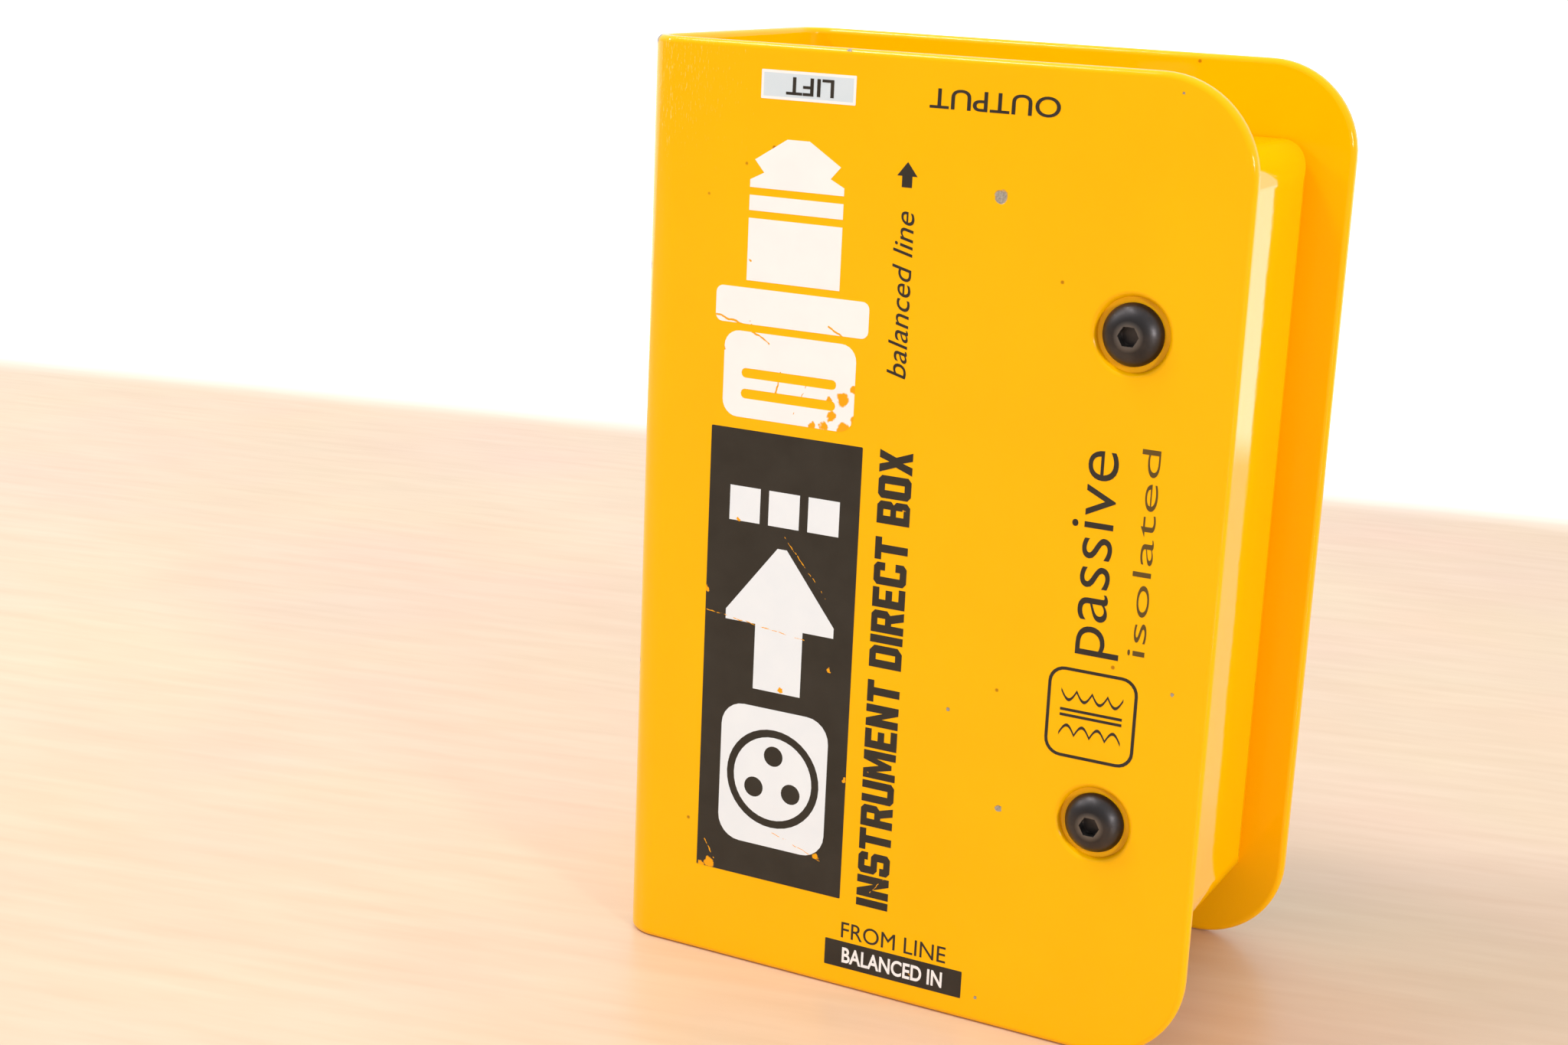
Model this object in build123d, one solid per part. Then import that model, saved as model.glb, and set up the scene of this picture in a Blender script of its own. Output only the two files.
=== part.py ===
"""A direct injection box: a folded steel shell round a steel tray that carries an XLR socket, a
quarter-inch jack, a lift switch and a circuit board with an isolating transformer.

It stands on its socket end. X runs from the shell's spine to its open side, Y from the front plate
to the rear plate, and Z from the socket end to the jack end. Lengths are in millimetres, measured
from the spine, the front plate and the standing end. ORIGIN moves the whole assembly, when it is
saved, so that its origin is the middle of its footprint.
"""

import math
import os

from build123d import *

# How far a cutting tool runs out past the material, and past an open side
CUT = 1.0
OPEN_CUT = 9.0

# Shell, of coated 14 gauge steel
WIDTH = 83.8
DEPTH = 47.6
HEIGHT = 127.0
SHEET = 2.0
SHELL_FOLD = 5.0
SHELL_CORNER = 12.7
EDGE_ROUND = 0.8

# Tray inside the shell
TRAY_RECESS_SIDE = 5.4
TRAY_RECESS_END = 10.5
TRAY_GAP = 0.25
TRAY_FOLD = 4.8
TRAY_OPEN_X = SHEET + 0.8
FLANGE_WIDTH = 18.4
TRAY_SLIT = 0.6
PANEL_CORNER = 3.0
LATCH_CUTOUT_HALF = 4.8
LATCH_CUTOUT_DEPTH = 14.9

TRAY_X = WIDTH - TRAY_RECESS_SIDE
TRAY_FRONT = SHEET + TRAY_GAP
TRAY_REAR = DEPTH - SHEET - TRAY_GAP
TRAY_LOW = TRAY_RECESS_END
TRAY_HIGH = HEIGHT - TRAY_RECESS_END
PANEL_LOW_IN = TRAY_LOW + SHEET
PANEL_HIGH_IN = TRAY_HIGH - SHEET
MIDDLE_Y = DEPTH / 2

# Cover screws, no. 8 button heads in spotfaces, and their clinch nuts in the tray's flanges
SCREW_X = 70.0
SCREW_Z = (31.75, 95.25)
SPOTFACE_DEPTH = 0.8
SPOTFACE_RADIUS = 4.7
SCREW_HOLE_RADIUS = 2.4
SCREW_HEAD_RADIUS = 3.96
SCREW_HEAD_HEIGHT = 2.2
SCREW_RADIUS = 2.05
SCREW_LENGTH = 9.5
SCREW_HEX = 2.4
SCREW_HEX_DEPTH = 1.4
SCREW_TIP = 0.6
CLINCH_SHANK_RADIUS = 2.75
CLINCH_HEAD_RADIUS = 3.5
CLINCH_BORE_RADIUS = 2.1
CLINCH_HEIGHT = 3.0
CLINCH_EDGE = 0.5

# No-slip pad on the rear plate
PAD_THICK = 2.0
PAD_INSET = 3.0
PAD_CORNER = 10.0
PAD_HOLE_RADIUS = 6.5

# XLR socket in the low end panel, with its latch on the front side
XLR_X = 43.0
XLR_Y = MIDDLE_Y
XLR_FLANGE_X = 13.0
XLR_FLANGE_Y = 15.5
XLR_FACE = TRAY_LOW - 2.2
XLR_BORE_RADIUS = 9.7
XLR_BARREL_RADIUS = 11.8
XLR_CUTOUT_RADIUS = 12.0
XLR_STEP = 24.0
XLR_REAR = 30.0
XLR_SEAT_RADIUS = 9.0
XLR_INSERT_RADIUS = 7.8
XLR_INSERT_FACE = 9.3
XLR_RIM_RADIUS = 10.8
XLR_RIM_END = XLR_REAR + 1.6
XLR_PIN_CIRCLE = 4.8
XLR_PIN_ANGLES = (-30.0, 90.0, 210.0)
CONTACT_RADIUS = 1.6
CONTACT_BORE_RADIUS = 1.25
CONTACT_HOLE_RADIUS = 1.4
CONTACT_FACE = XLR_INSERT_FACE + 0.9
CONTACT_BORE_END = 27.0
CONTACT_END = 36.0
CUP_DEPTH = 2.5
XLR_SCREW_OFFSETS = ((9.5, -12.0), (-9.5, 12.0))

# M3 screws and nuts
M3_HOLE_RADIUS = 1.6
M3_RADIUS = 1.45
M3_BORE_RADIUS = 1.5
M3_FLATS = 5.5
M3_NUT_HEIGHT = 2.4
CROSS_HALF = 0.35
CROSS_REACH = 1.6

# The socket's latch: a push tab, and a hook on a cross pin that the tab lifts
CHANNEL_OUT_Y = XLR_Y - 13.6
CHANNEL_IN_Y = XLR_Y - 9.0
CHANNEL_HALF = 3.2
CHANNEL_LOW = XLR_FACE + 0.9
CHANNEL_HIGH = 27.2
TAB_OUT_Y = XLR_Y - 13.2
TAB_IN_Y = XLR_Y - 10.4
HOOK_OUT_Y = XLR_Y - 12.0
HOOK_IN_Y = XLR_Y - 10.8
HOOK_HALF = 2.7
HOOK_LOW = 16.2
LATCH_PIN_RADIUS = 0.6
PIN_PLAY = 0.05
LATCH_PIN_Y = XLR_Y - 11.4
LATCH_PIN_Z = 24.5

# Quarter-inch jack in the high end panel
JACK_X = 49.5
JACK_Y = MIDDLE_Y
JACK_BORE_RADIUS = 3.25
JACK_THREAD_RADIUS = 4.75
JACK_THREAD_DEPTH = 0.35
JACK_HOLE_RADIUS = JACK_THREAD_RADIUS + 0.1
JACK_PITCH = 0.8
JACK_FACE = TRAY_HIGH + 7.6
JACK_HALF = 8.0
JACK_FLOOR = 87.0
JACK_WALL = 1.4
JACK_CAVITY_HIGH = 111.4
JACK_COLLAR_RADIUS = 6.4
JACK_WASHER_THICK = 0.6
JACK_NUT_FLATS = 12.7
JACK_NUT_HEIGHT = 2.5
JACK_LEG_OFFSET = 6.0
JACK_LEG_Z = 110.7
LEAF_X = JACK_X + 4.6
LEAF_THICK = 0.45
LEAF_HALF = 2.2
LEAF_ROOT_Z = 109.8

# Lift switch beside the jack
LIFT_X = 24.5
LIFT_Y = 26.8
LIFT_HOLE_RADIUS = 3.6
LIFT_BUTTON_RADIUS = 3.1
LIFT_BUTTON_TOP = 121.8
LIFT_BODY_HALF = 5.0
LIFT_BODY_HIGH = 112.4
LIFT_BODY_LOW = 98.5
LIFT_CAVITY_HALF = 3.2
LIFT_CAVITY_FLOOR = 100.4
LIFT_STEM_LOW = 104.6
LIFT_STEM_HALF = 2.3
LIFT_STEM_RADIUS = 1.6
LIFT_STEM_TOP = 119.0
LIFT_PIN_OFFSET = 2.5
LIFT_PIN_Z = (101.5, 105.5, 109.5)

# Circuit board, parallel to the plates
BOARD_X = (10.0, 72.5)
BOARD_Z = (42.0, 112.5)
BOARD_Y = 33.0
BOARD_THICK = 1.6
BOARD_CORNER = 1.5
BOARD_BACK = BOARD_Y + BOARD_THICK
STANDOFF_X = 67.5
STANDOFF_Z = (52.0, 80.0)
STANDOFF_SHANK_RADIUS = 2.2
LEG_END = BOARD_BACK + 1.3
LEG_HALF = 0.35
LEG_HOLE_RADIUS = 0.6
JACK_LEG_HOLE_RADIUS = 0.9

# Isolating transformer on the board
COIL_X = 36.0
COIL_Z = 72.0
CAN_HALF = 13.0
CAN_DEPTH = 19.0
CAN_WALL = 0.8
CAN_CORNER = 3.0
CORE_HALF = 9.0
CORE_MIDDLE_Y = 22.5
CORE_STACK = 4.5
WINDOW_HALF = 6.0
LIMB_HALF = 2.6
COIL_PIN_OFFSETS = (-5.0, 0.0, 5.0)
COIL_PIN_ROWS = (-8.0, 8.0)
BOBBIN_WALL = 0.6

# Small parts on the board
RESISTOR_PLACES = ((57.0, 66.0), (57.0, 70.0), (16.5, 66.0), (16.5, 70.0))
RESISTOR_RADIUS = 1.2
RESISTOR_HALF = 3.2
RESISTOR_PITCH_HALF = 5.0
CAPACITOR_PLACES = ((57.0, 76.5), (20.0, 90.5))
CAPACITOR_LEG_OFFSET = 2.5
LEG_WIRE_RADIUS = 0.3
HEADER_XS = (55.0, 58.5, 62.0)
HEADER_Z = (52.0, 58.0)
HEADER_MIDDLE_Z = 55.0
HEADER_Y = (27.0, 33.0)
LEAD_RADIUS = 0.7
LEAD_BEND = 4.0

# Earth tag on the low end panel
EARTH_X = 16.5
EARTH_Y = 20.0
EARTH_TAG_THICK = 0.6
EARTH_TAG_REACH = 8.0
EARTH_WASHER_THICK = 0.5

ORIGIN = Vector(WIDTH / 2, (DEPTH + PAD_THICK + SPOTFACE_DEPTH - SCREW_HEAD_HEIGHT) / 2, 0)


def block(x, y, z):
    """A box between three (low, high) pairs."""
    spans = (x, y, z)
    size = [high - low for low, high in spans]
    middle = [(high + low) / 2 for low, high in spans]
    return Pos(*middle) * Box(*size)


def rod_x(y, z, span, radius):
    """A cylinder along X."""
    low, high = span
    return Pos((low + high) / 2, y, z) * Rot(0, 90, 0) * Cylinder(radius, high - low)


def rod_y(x, z, span, radius):
    """A cylinder along Y."""
    low, high = span
    return Pos(x, (low + high) / 2, z) * Rot(90, 0, 0) * Cylinder(radius, high - low)


def rod_z(x, y, span, radius):
    """A cylinder along Z."""
    low, high = span
    return Pos(x, y, (low + high) / 2) * Cylinder(radius, high - low)


def hex_bar(flats, span):
    """A hexagonal bar along Z at the origin, with the given distance across its flats."""
    low, high = span
    outline = RegularPolygon(flats / 2, 6, major_radius=False)
    return Pos(0, 0, low) * extrude(outline, high - low)


def turned(*edges):
    """A solid of revolution about Z. The edges close in the XZ plane, as (radius, height)."""
    return revolve(make_face([Plane.XZ * edge for edge in edges]), Axis.Z)


def prism_y(points, span):
    """A prism along Y from the corners of its outline in the XZ plane."""
    low, high = span
    face = make_face(Polyline(*[(x, low, z) for x, z in points], close=True))
    return extrude(face, high - low, dir=(0, 1, 0))


def prism_x(points, span):
    """A prism along X from the corners of its outline in the YZ plane."""
    low, high = span
    face = make_face(Polyline(*[(low, y, z) for y, z in points], close=True))
    return extrude(face, high - low, dir=(1, 0, 0))


def into_front(x, z, depth=0.0):
    """A frame on the front plate whose Z axis points into the box."""
    return Pos(x, depth, z) * Rot(-90, 0, 0)


def into_rear(x, z, depth=0.0):
    """A frame on the rear plate whose Z axis points into the box."""
    return Pos(x, DEPTH - depth, z) * Rot(90, 0, 0)


# ---- shell, tray, pad and cover screws ----


def spotface():
    """The tool for a screw's seat: a shallow pocket with a rounded rim, and a clearance hole."""
    rim = SPOTFACE_RADIUS + EDGE_ROUND
    inset = EDGE_ROUND * (1 - math.sqrt(0.5))
    pocket = turned(
        Line((0, -CUT), (rim, -CUT)),
        Line((rim, -CUT), (rim, 0)),
        ThreePointArc((rim, 0), (SPOTFACE_RADIUS + inset, inset), (SPOTFACE_RADIUS, EDGE_ROUND)),
        Line((SPOTFACE_RADIUS, EDGE_ROUND), (0, SPOTFACE_DEPTH)),
        Line((0, SPOTFACE_DEPTH), (0, -CUT)),
    )
    return pocket + rod_z(0, 0, (0, SHEET + CUT), SCREW_HOLE_RADIUS)


def is_rim(edge):
    """Whether an edge follows the shell's outline, and isn't a fold line or a seam across it."""
    tolerance = 0.01
    extent = edge.bounding_box()
    if edge.geom_type == GeomType.LINE and abs(edge.length - SHEET) < tolerance:
        return False
    if edge.geom_type == GeomType.LINE and extent.size.Z > SHEET:
        return extent.min.X > WIDTH - tolerance
    return True


def outer_shell():
    """The folded cover: front plate, spine and rear plate, with rounded free corners."""
    solid = block((0, WIDTH), (0, DEPTH), (0, HEIGHT))
    solid = fillet(solid.edges().filter_by(Axis.Z).sort_by(Axis.X)[:2], SHELL_FOLD)
    hollow = block((SHEET, WIDTH + OPEN_CUT), (SHEET, DEPTH - SHEET), (-OPEN_CUT, HEIGHT + OPEN_CUT))
    hollow = fillet(hollow.edges().filter_by(Axis.Z).sort_by(Axis.X)[:2], SHELL_FOLD - SHEET)
    outline = block((-OPEN_CUT, WIDTH), (-OPEN_CUT, DEPTH + OPEN_CUT), (0, HEIGHT))
    outline = fillet(outline.edges().filter_by(Axis.Y).sort_by(Axis.X)[-2:], SHELL_CORNER)
    shell = (solid - hollow) & outline
    shell = fillet(shell.edges().filter_by(is_rim), EDGE_ROUND)
    for z in SCREW_Z:
        shell -= into_front(SCREW_X, z) * spotface()
        shell -= into_rear(SCREW_X, z) * spotface()
    return shell


def tray_block(inset):
    """The tray's outline, or its hollow when inset by the sheet's thickness."""
    solid = block(
        (TRAY_OPEN_X - inset, TRAY_X - inset),
        (TRAY_FRONT + inset, TRAY_REAR - inset),
        (TRAY_LOW + inset, TRAY_HIGH - inset),
    )
    return fillet(solid.faces().sort_by(Axis.X)[-1].edges(), TRAY_FOLD - inset)


def inner_tray():
    """The folded tray: side wall, two end panels, and a front and a rear flange for the screws."""
    tray = tray_block(0)
    tray = fillet(tray.edges().filter_by(Axis.Z).sort_by(Axis.X)[:2], PANEL_CORNER)
    tray -= tray_block(SHEET)
    flange_start = TRAY_X - FLANGE_WIDTH
    fold_start = TRAY_X - TRAY_FOLD
    inner_z = (PANEL_LOW_IN, PANEL_HIGH_IN)
    for low, high in ((TRAY_FRONT, TRAY_FRONT + SHEET), (TRAY_REAR - SHEET, TRAY_REAR)):
        wall = (low - CUT, high + CUT)
        tray -= block((TRAY_OPEN_X - CUT, flange_start), wall, inner_z)
        for z in (PANEL_LOW_IN, PANEL_HIGH_IN - TRAY_SLIT):
            tray -= block((flange_start - CUT, fold_start), wall, (z, z + TRAY_SLIT))
    for z in SCREW_Z:
        tray -= rod_y(SCREW_X, z, (0, DEPTH), CLINCH_SHANK_RADIUS)
    for z in STANDOFF_Z:
        tray -= rod_y(STANDOFF_X, z, (MIDDLE_Y, DEPTH), STANDOFF_SHANK_RADIUS)
    low_panel = (TRAY_LOW - CUT, PANEL_LOW_IN + CUT)
    tray -= rod_z(XLR_X, XLR_Y, low_panel, XLR_CUTOUT_RADIUS)
    latch_x = (XLR_X - LATCH_CUTOUT_HALF, XLR_X + LATCH_CUTOUT_HALF)
    tray -= block(latch_x, (XLR_Y - LATCH_CUTOUT_DEPTH, XLR_Y), low_panel)
    for dx, dy in XLR_SCREW_OFFSETS:
        tray -= rod_z(XLR_X + dx, XLR_Y + dy, low_panel, M3_HOLE_RADIUS)
    tray -= rod_z(EARTH_X, EARTH_Y, low_panel, M3_HOLE_RADIUS)
    high_panel = (PANEL_HIGH_IN - CUT, TRAY_HIGH + CUT)
    tray -= rod_z(JACK_X, JACK_Y, high_panel, JACK_HOLE_RADIUS)
    tray -= rod_z(LIFT_X, LIFT_Y, high_panel, LIFT_HOLE_RADIUS)
    return tray


def no_slip_pad():
    """The foam rubber pad on the rear plate, with a hole round each rear screw."""
    y = (DEPTH, DEPTH + PAD_THICK)
    pad = block((PAD_INSET, WIDTH - PAD_INSET), y, (PAD_INSET, HEIGHT - PAD_INSET))
    pad = fillet(pad.edges().filter_by(Axis.Y), PAD_CORNER)
    pad = fillet(pad.faces().sort_by(Axis.Y)[-1].edges(), PAD_THICK / 4)
    for z in SCREW_Z:
        pad -= rod_y(SCREW_X, z, (DEPTH - CUT, DEPTH + PAD_THICK + CUT), PAD_HOLE_RADIUS)
    return pad


def cover_screw():
    """A button head screw along Z: its dome points down and its seat is at the origin."""
    edge_height = 0.3
    crown = 1.5
    bulge_out = 0.35
    bulge_up = 0.38
    shoulder = (SCREW_HEAD_RADIUS + crown) / 2 + bulge_out
    shoulder_height = (SCREW_HEAD_HEIGHT + edge_height) / 2 + bulge_up
    tip = SCREW_LENGTH - SCREW_TIP
    screw = turned(
        Line((0, -SCREW_HEAD_HEIGHT), (crown, -SCREW_HEAD_HEIGHT)),
        ThreePointArc(
            (crown, -SCREW_HEAD_HEIGHT),
            (shoulder, -shoulder_height),
            (SCREW_HEAD_RADIUS, -edge_height),
        ),
        Line((SCREW_HEAD_RADIUS, -edge_height), (SCREW_HEAD_RADIUS, 0)),
        Line((SCREW_HEAD_RADIUS, 0), (SCREW_RADIUS, 0)),
        Line((SCREW_RADIUS, 0), (SCREW_RADIUS, tip)),
        Line((SCREW_RADIUS, tip), (SCREW_RADIUS - SCREW_TIP, SCREW_LENGTH)),
        Line((SCREW_RADIUS - SCREW_TIP, SCREW_LENGTH), (0, SCREW_LENGTH)),
        Line((0, SCREW_LENGTH), (0, -SCREW_HEAD_HEIGHT)),
    )
    return screw - hex_bar(SCREW_HEX, (-SCREW_HEAD_HEIGHT - CUT, SCREW_HEX_DEPTH - SCREW_HEAD_HEIGHT))


def clinch_nut():
    """A nut pressed in a flange: its shank starts at the origin and its head is inside, along Z."""
    nut = rod_z(0, 0, (0, SHEET), CLINCH_SHANK_RADIUS)
    nut += rod_z(0, 0, (SHEET, SHEET + CLINCH_HEIGHT), CLINCH_HEAD_RADIUS)
    nut = fillet(nut.edges().filter_by(GeomType.CIRCLE).sort_by(Axis.Z)[-1], CLINCH_EDGE)
    return nut - rod_z(0, 0, (-CUT, SHEET + CLINCH_HEIGHT + CUT), CLINCH_BORE_RADIUS)


def clinch_nuts():
    """The four clinch nuts, two in each flange."""
    nuts = []
    for z in SCREW_Z:
        nuts.append(into_front(SCREW_X, z, TRAY_FRONT) * clinch_nut())
        nuts.append(into_rear(SCREW_X, z, DEPTH - TRAY_REAR) * clinch_nut())
    return nuts


# ---- XLR socket ----


def contact_places():
    """The middles of the three contacts."""
    places = []
    for angle in XLR_PIN_ANGLES:
        x = XLR_X + XLR_PIN_CIRCLE * math.cos(math.radians(angle))
        y = XLR_Y + XLR_PIN_CIRCLE * math.sin(math.radians(angle))
        places.append((x, y))
    return places


def xlr_shell():
    """The socket's die-cast body: flange, barrel, and a channel for the latch beside the bore."""
    corner = 3.0
    edge = 0.6
    cover_half = 4.5
    cover_out_y = XLR_Y - 14.6
    cover_end = XLR_REAR - 1.0
    mouth_half = 2.7
    wall_lip = 0.1
    pin_hole_half = 5.0
    sink_radius = 3.1
    sink_depth = 1.4
    screw_hole_depth = 9.0
    flange = block(
        (XLR_X - XLR_FLANGE_X, XLR_X + XLR_FLANGE_X),
        (XLR_Y - XLR_FLANGE_Y, XLR_Y + XLR_FLANGE_Y),
        (XLR_FACE, TRAY_LOW),
    )
    flange = fillet(flange.edges().filter_by(Axis.Z), corner)
    flange = fillet(flange.faces().sort_by(Axis.Z)[0].edges(), edge)
    shell = flange + rod_z(XLR_X, XLR_Y, (TRAY_LOW, XLR_REAR), XLR_BARREL_RADIUS)
    cover_x = (XLR_X - cover_half, XLR_X + cover_half)
    shell += block(cover_x, (cover_out_y, XLR_Y), (TRAY_LOW, cover_end))
    shell -= rod_z(XLR_X, XLR_Y, (XLR_FACE - CUT, XLR_STEP), XLR_BORE_RADIUS)
    shell -= rod_z(XLR_X, XLR_Y, (XLR_STEP - CUT, XLR_REAR + CUT), XLR_SEAT_RADIUS)
    mouth_x = (XLR_X - mouth_half, XLR_X + mouth_half)
    shell -= block(mouth_x, (CHANNEL_OUT_Y + wall_lip, CHANNEL_IN_Y), (XLR_FACE - CUT, XLR_FACE + CUT))
    channel_x = (XLR_X - CHANNEL_HALF, XLR_X + CHANNEL_HALF)
    shell -= block(channel_x, (CHANNEL_OUT_Y, CHANNEL_IN_Y), (CHANNEL_LOW, CHANNEL_HIGH))
    pin_x = (XLR_X - pin_hole_half, XLR_X + pin_hole_half)
    shell -= rod_x(LATCH_PIN_Y, LATCH_PIN_Z, pin_x, LATCH_PIN_RADIUS)
    for dx, dy in XLR_SCREW_OFFSETS:
        place = Pos(XLR_X + dx, XLR_Y + dy, XLR_FACE)
        shell -= place * rod_z(0, 0, (-CUT, screw_hole_depth), M3_HOLE_RADIUS)
        shell -= place * Pos(0, 0, sink_depth / 2) * Cone(sink_radius, M3_HOLE_RADIUS, sink_depth)
    return shell


def xlr_insert():
    """The moulded block that the three contacts stand in, with a hole over each."""
    edge = 0.6
    insert = rod_z(XLR_X, XLR_Y, (XLR_INSERT_FACE, XLR_STEP), XLR_INSERT_RADIUS)
    insert = fillet(insert.edges().filter_by(GeomType.CIRCLE).sort_by(Axis.Z)[0], edge)
    hole_z = (XLR_INSERT_FACE - CUT, XLR_INSERT_FACE + CUT)
    for x, y in contact_places():
        insert -= rod_z(x, y, (CONTACT_FACE, XLR_STEP + CUT), CONTACT_RADIUS)
        insert -= rod_z(x, y, hole_z, CONTACT_HOLE_RADIUS)
    return insert


def xlr_rear_insert():
    """The moulded plug that backs the insert and fills the shell's seat, with a rim behind it."""
    rear = rod_z(XLR_X, XLR_Y, (XLR_STEP, XLR_REAR), XLR_SEAT_RADIUS)
    rear += rod_z(XLR_X, XLR_Y, (XLR_REAR, XLR_RIM_END), XLR_RIM_RADIUS)
    for x, y in contact_places():
        rear -= rod_z(x, y, (XLR_STEP - CUT, XLR_RIM_END + CUT), CONTACT_RADIUS)
    return rear


def xlr_contacts():
    """Three turned contact tubes, each with a solder cup behind."""
    cup_radius = CONTACT_RADIUS - 0.35
    contacts = []
    for x, y in contact_places():
        contact = rod_z(x, y, (CONTACT_FACE, XLR_RIM_END), CONTACT_RADIUS)
        contact += rod_z(x, y, (XLR_REAR, CONTACT_END), cup_radius)
        contact -= rod_z(x, y, (XLR_INSERT_FACE, CONTACT_BORE_END), CONTACT_BORE_RADIUS)
        contact -= rod_z(x, y, (CONTACT_END - CUP_DEPTH, CONTACT_END + CUT), LEAD_RADIUS)
        contacts.append(contact)
    return contacts


def xlr_push_tab():
    """The latch's push tab: a narrow head in the flange, shoulders inside and two prongs."""
    y = (TAB_OUT_Y, TAB_IN_Y)
    head_half = 2.3
    head_z = (XLR_FACE - 2.0, 10.0)
    head_edge = 0.6
    shoulder_half = 2.9
    shoulder_z = (9.5, 14.0)
    prong_x = ((-2.7, -1.7), (1.7, 2.7))
    prong_out = XLR_Y - 10.45
    prong_in = XLR_Y - 9.8
    prong_low = 13.0
    prong_high = 16.6
    prong_slope = 0.6
    tab = block((XLR_X - head_half, XLR_X + head_half), y, head_z)
    tab = fillet(tab.edges().filter_by(Axis.X).sort_by(Axis.Z)[:2], head_edge)
    tab += block((XLR_X - shoulder_half, XLR_X + shoulder_half), y, shoulder_z)
    prong = [
        (prong_out, prong_low),
        (prong_in, prong_low),
        (prong_in, prong_high - prong_slope),
        (prong_out, prong_high),
    ]
    for low, high in prong_x:
        tab += prism_x(prong, (XLR_X + low, XLR_X + high))
    return tab


def xlr_latch_hook():
    """The latch's hook: a lever on the cross pin with a tooth that enters the bore."""
    eye_radius = 1.2
    tooth_root = XLR_Y - 11.0
    tooth_tip = XLR_Y - 8.7
    tooth_low = 16.3
    tooth_slope = 1.3
    tooth_high = 18.4
    tooth_half = 1.3
    slot_half = 1.4
    slot_low = 21.6
    hook_x = (XLR_X - HOOK_HALF, XLR_X + HOOK_HALF)
    hook = block(hook_x, (HOOK_OUT_Y, HOOK_IN_Y), (HOOK_LOW, LATCH_PIN_Z))
    hook += rod_x(LATCH_PIN_Y, LATCH_PIN_Z, hook_x, eye_radius)
    tooth = [
        (tooth_root, tooth_low),
        (tooth_tip, tooth_low + tooth_slope),
        (tooth_tip, tooth_high),
        (tooth_root, tooth_high),
    ]
    hook += prism_x(tooth, (XLR_X - tooth_half, XLR_X + tooth_half))
    slot_x = (XLR_X - slot_half, XLR_X + slot_half)
    slot_y = (HOOK_OUT_Y - 2 * CUT, HOOK_IN_Y + 2 * CUT)
    hook -= block(slot_x, slot_y, (slot_low, LATCH_PIN_Z + 2 * CUT))
    pin_x = (XLR_X - HOOK_HALF - CUT, XLR_X + HOOK_HALF + CUT)
    return hook - rod_x(LATCH_PIN_Y, LATCH_PIN_Z, pin_x, LATCH_PIN_RADIUS + PIN_PLAY)


def xlr_latch_pin():
    """The hook's cross pin, held in the walls of the channel."""
    half = 4.5
    return rod_x(LATCH_PIN_Y, LATCH_PIN_Z, (XLR_X - half, XLR_X + half), LATCH_PIN_RADIUS)


def xlr_latch_spring():
    """A torsion spring on the cross pin, one leg on the channel's wall and one down the lever."""
    coil_radius = 1.15
    wire = 0.2
    joint_radius = 1.4 * wire
    turns = 3
    width = 1.65
    overlap = 0.1
    lever_leg_low = 21.8
    helix = Helix(pitch=width / turns, height=width, radius=coil_radius, center=(0, 0, 0))
    section = Plane(helix @ 0, z_dir=helix % 0) * Circle(wire)
    low_x = XLR_X - width / 2
    foot_z = LATCH_PIN_Z - coil_radius
    spring = Pos(low_x, LATCH_PIN_Y, LATCH_PIN_Z) * Rot(0, 90, 0) * sweep(section, helix)
    for x in (low_x, low_x + width):
        spring += Pos(x, LATCH_PIN_Y, foot_z) * Sphere(joint_radius)
    spring += rod_y(low_x, foot_z, (CHANNEL_OUT_Y + overlap, LATCH_PIN_Y + overlap), wire)
    return spring + rod_z(low_x + width, LATCH_PIN_Y, (lever_leg_low, foot_z + overlap), wire)


def socket_screw():
    """A countersunk screw along Z: its flat head is at the origin and it points up."""
    head_radius = 2.95
    head_low = 0.1
    head_depth = 1.3
    length = 8.2
    recess_half = 1.9
    recess_z = (-CUT, 0.75)
    head = Pos(0, 0, head_low + head_depth / 2) * Cone(head_radius, M3_RADIUS, head_depth)
    screw = head + rod_z(0, 0, (head_depth / 2, length), M3_RADIUS)
    screw -= block((-recess_half, recess_half), (-CROSS_HALF, CROSS_HALF), recess_z)
    screw -= block((-CROSS_HALF, CROSS_HALF), (-recess_half, recess_half), recess_z)
    return screw


def xlr_screws():
    """The two screws that hold the socket's flange to the tray."""
    return [Pos(XLR_X + dx, XLR_Y + dy, XLR_FACE) * socket_screw() for dx, dy in XLR_SCREW_OFFSETS]


def small_nut():
    """An M3 nut on a plane at the origin, along Z."""
    corner_radius = 3.25
    middle = M3_NUT_HEIGHT / 2
    nut = hex_bar(M3_FLATS, (0, M3_NUT_HEIGHT)) & Pos(0, 0, middle) * Sphere(corner_radius)
    return nut - rod_z(0, 0, (-CUT, M3_NUT_HEIGHT + CUT), M3_BORE_RADIUS)


def xlr_screw_nuts():
    """The two nuts behind the socket's flange."""
    return [Pos(XLR_X + dx, XLR_Y + dy, PANEL_LOW_IN) * small_nut() for dx, dy in XLR_SCREW_OFFSETS]


# ---- quarter-inch jack ----


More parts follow.
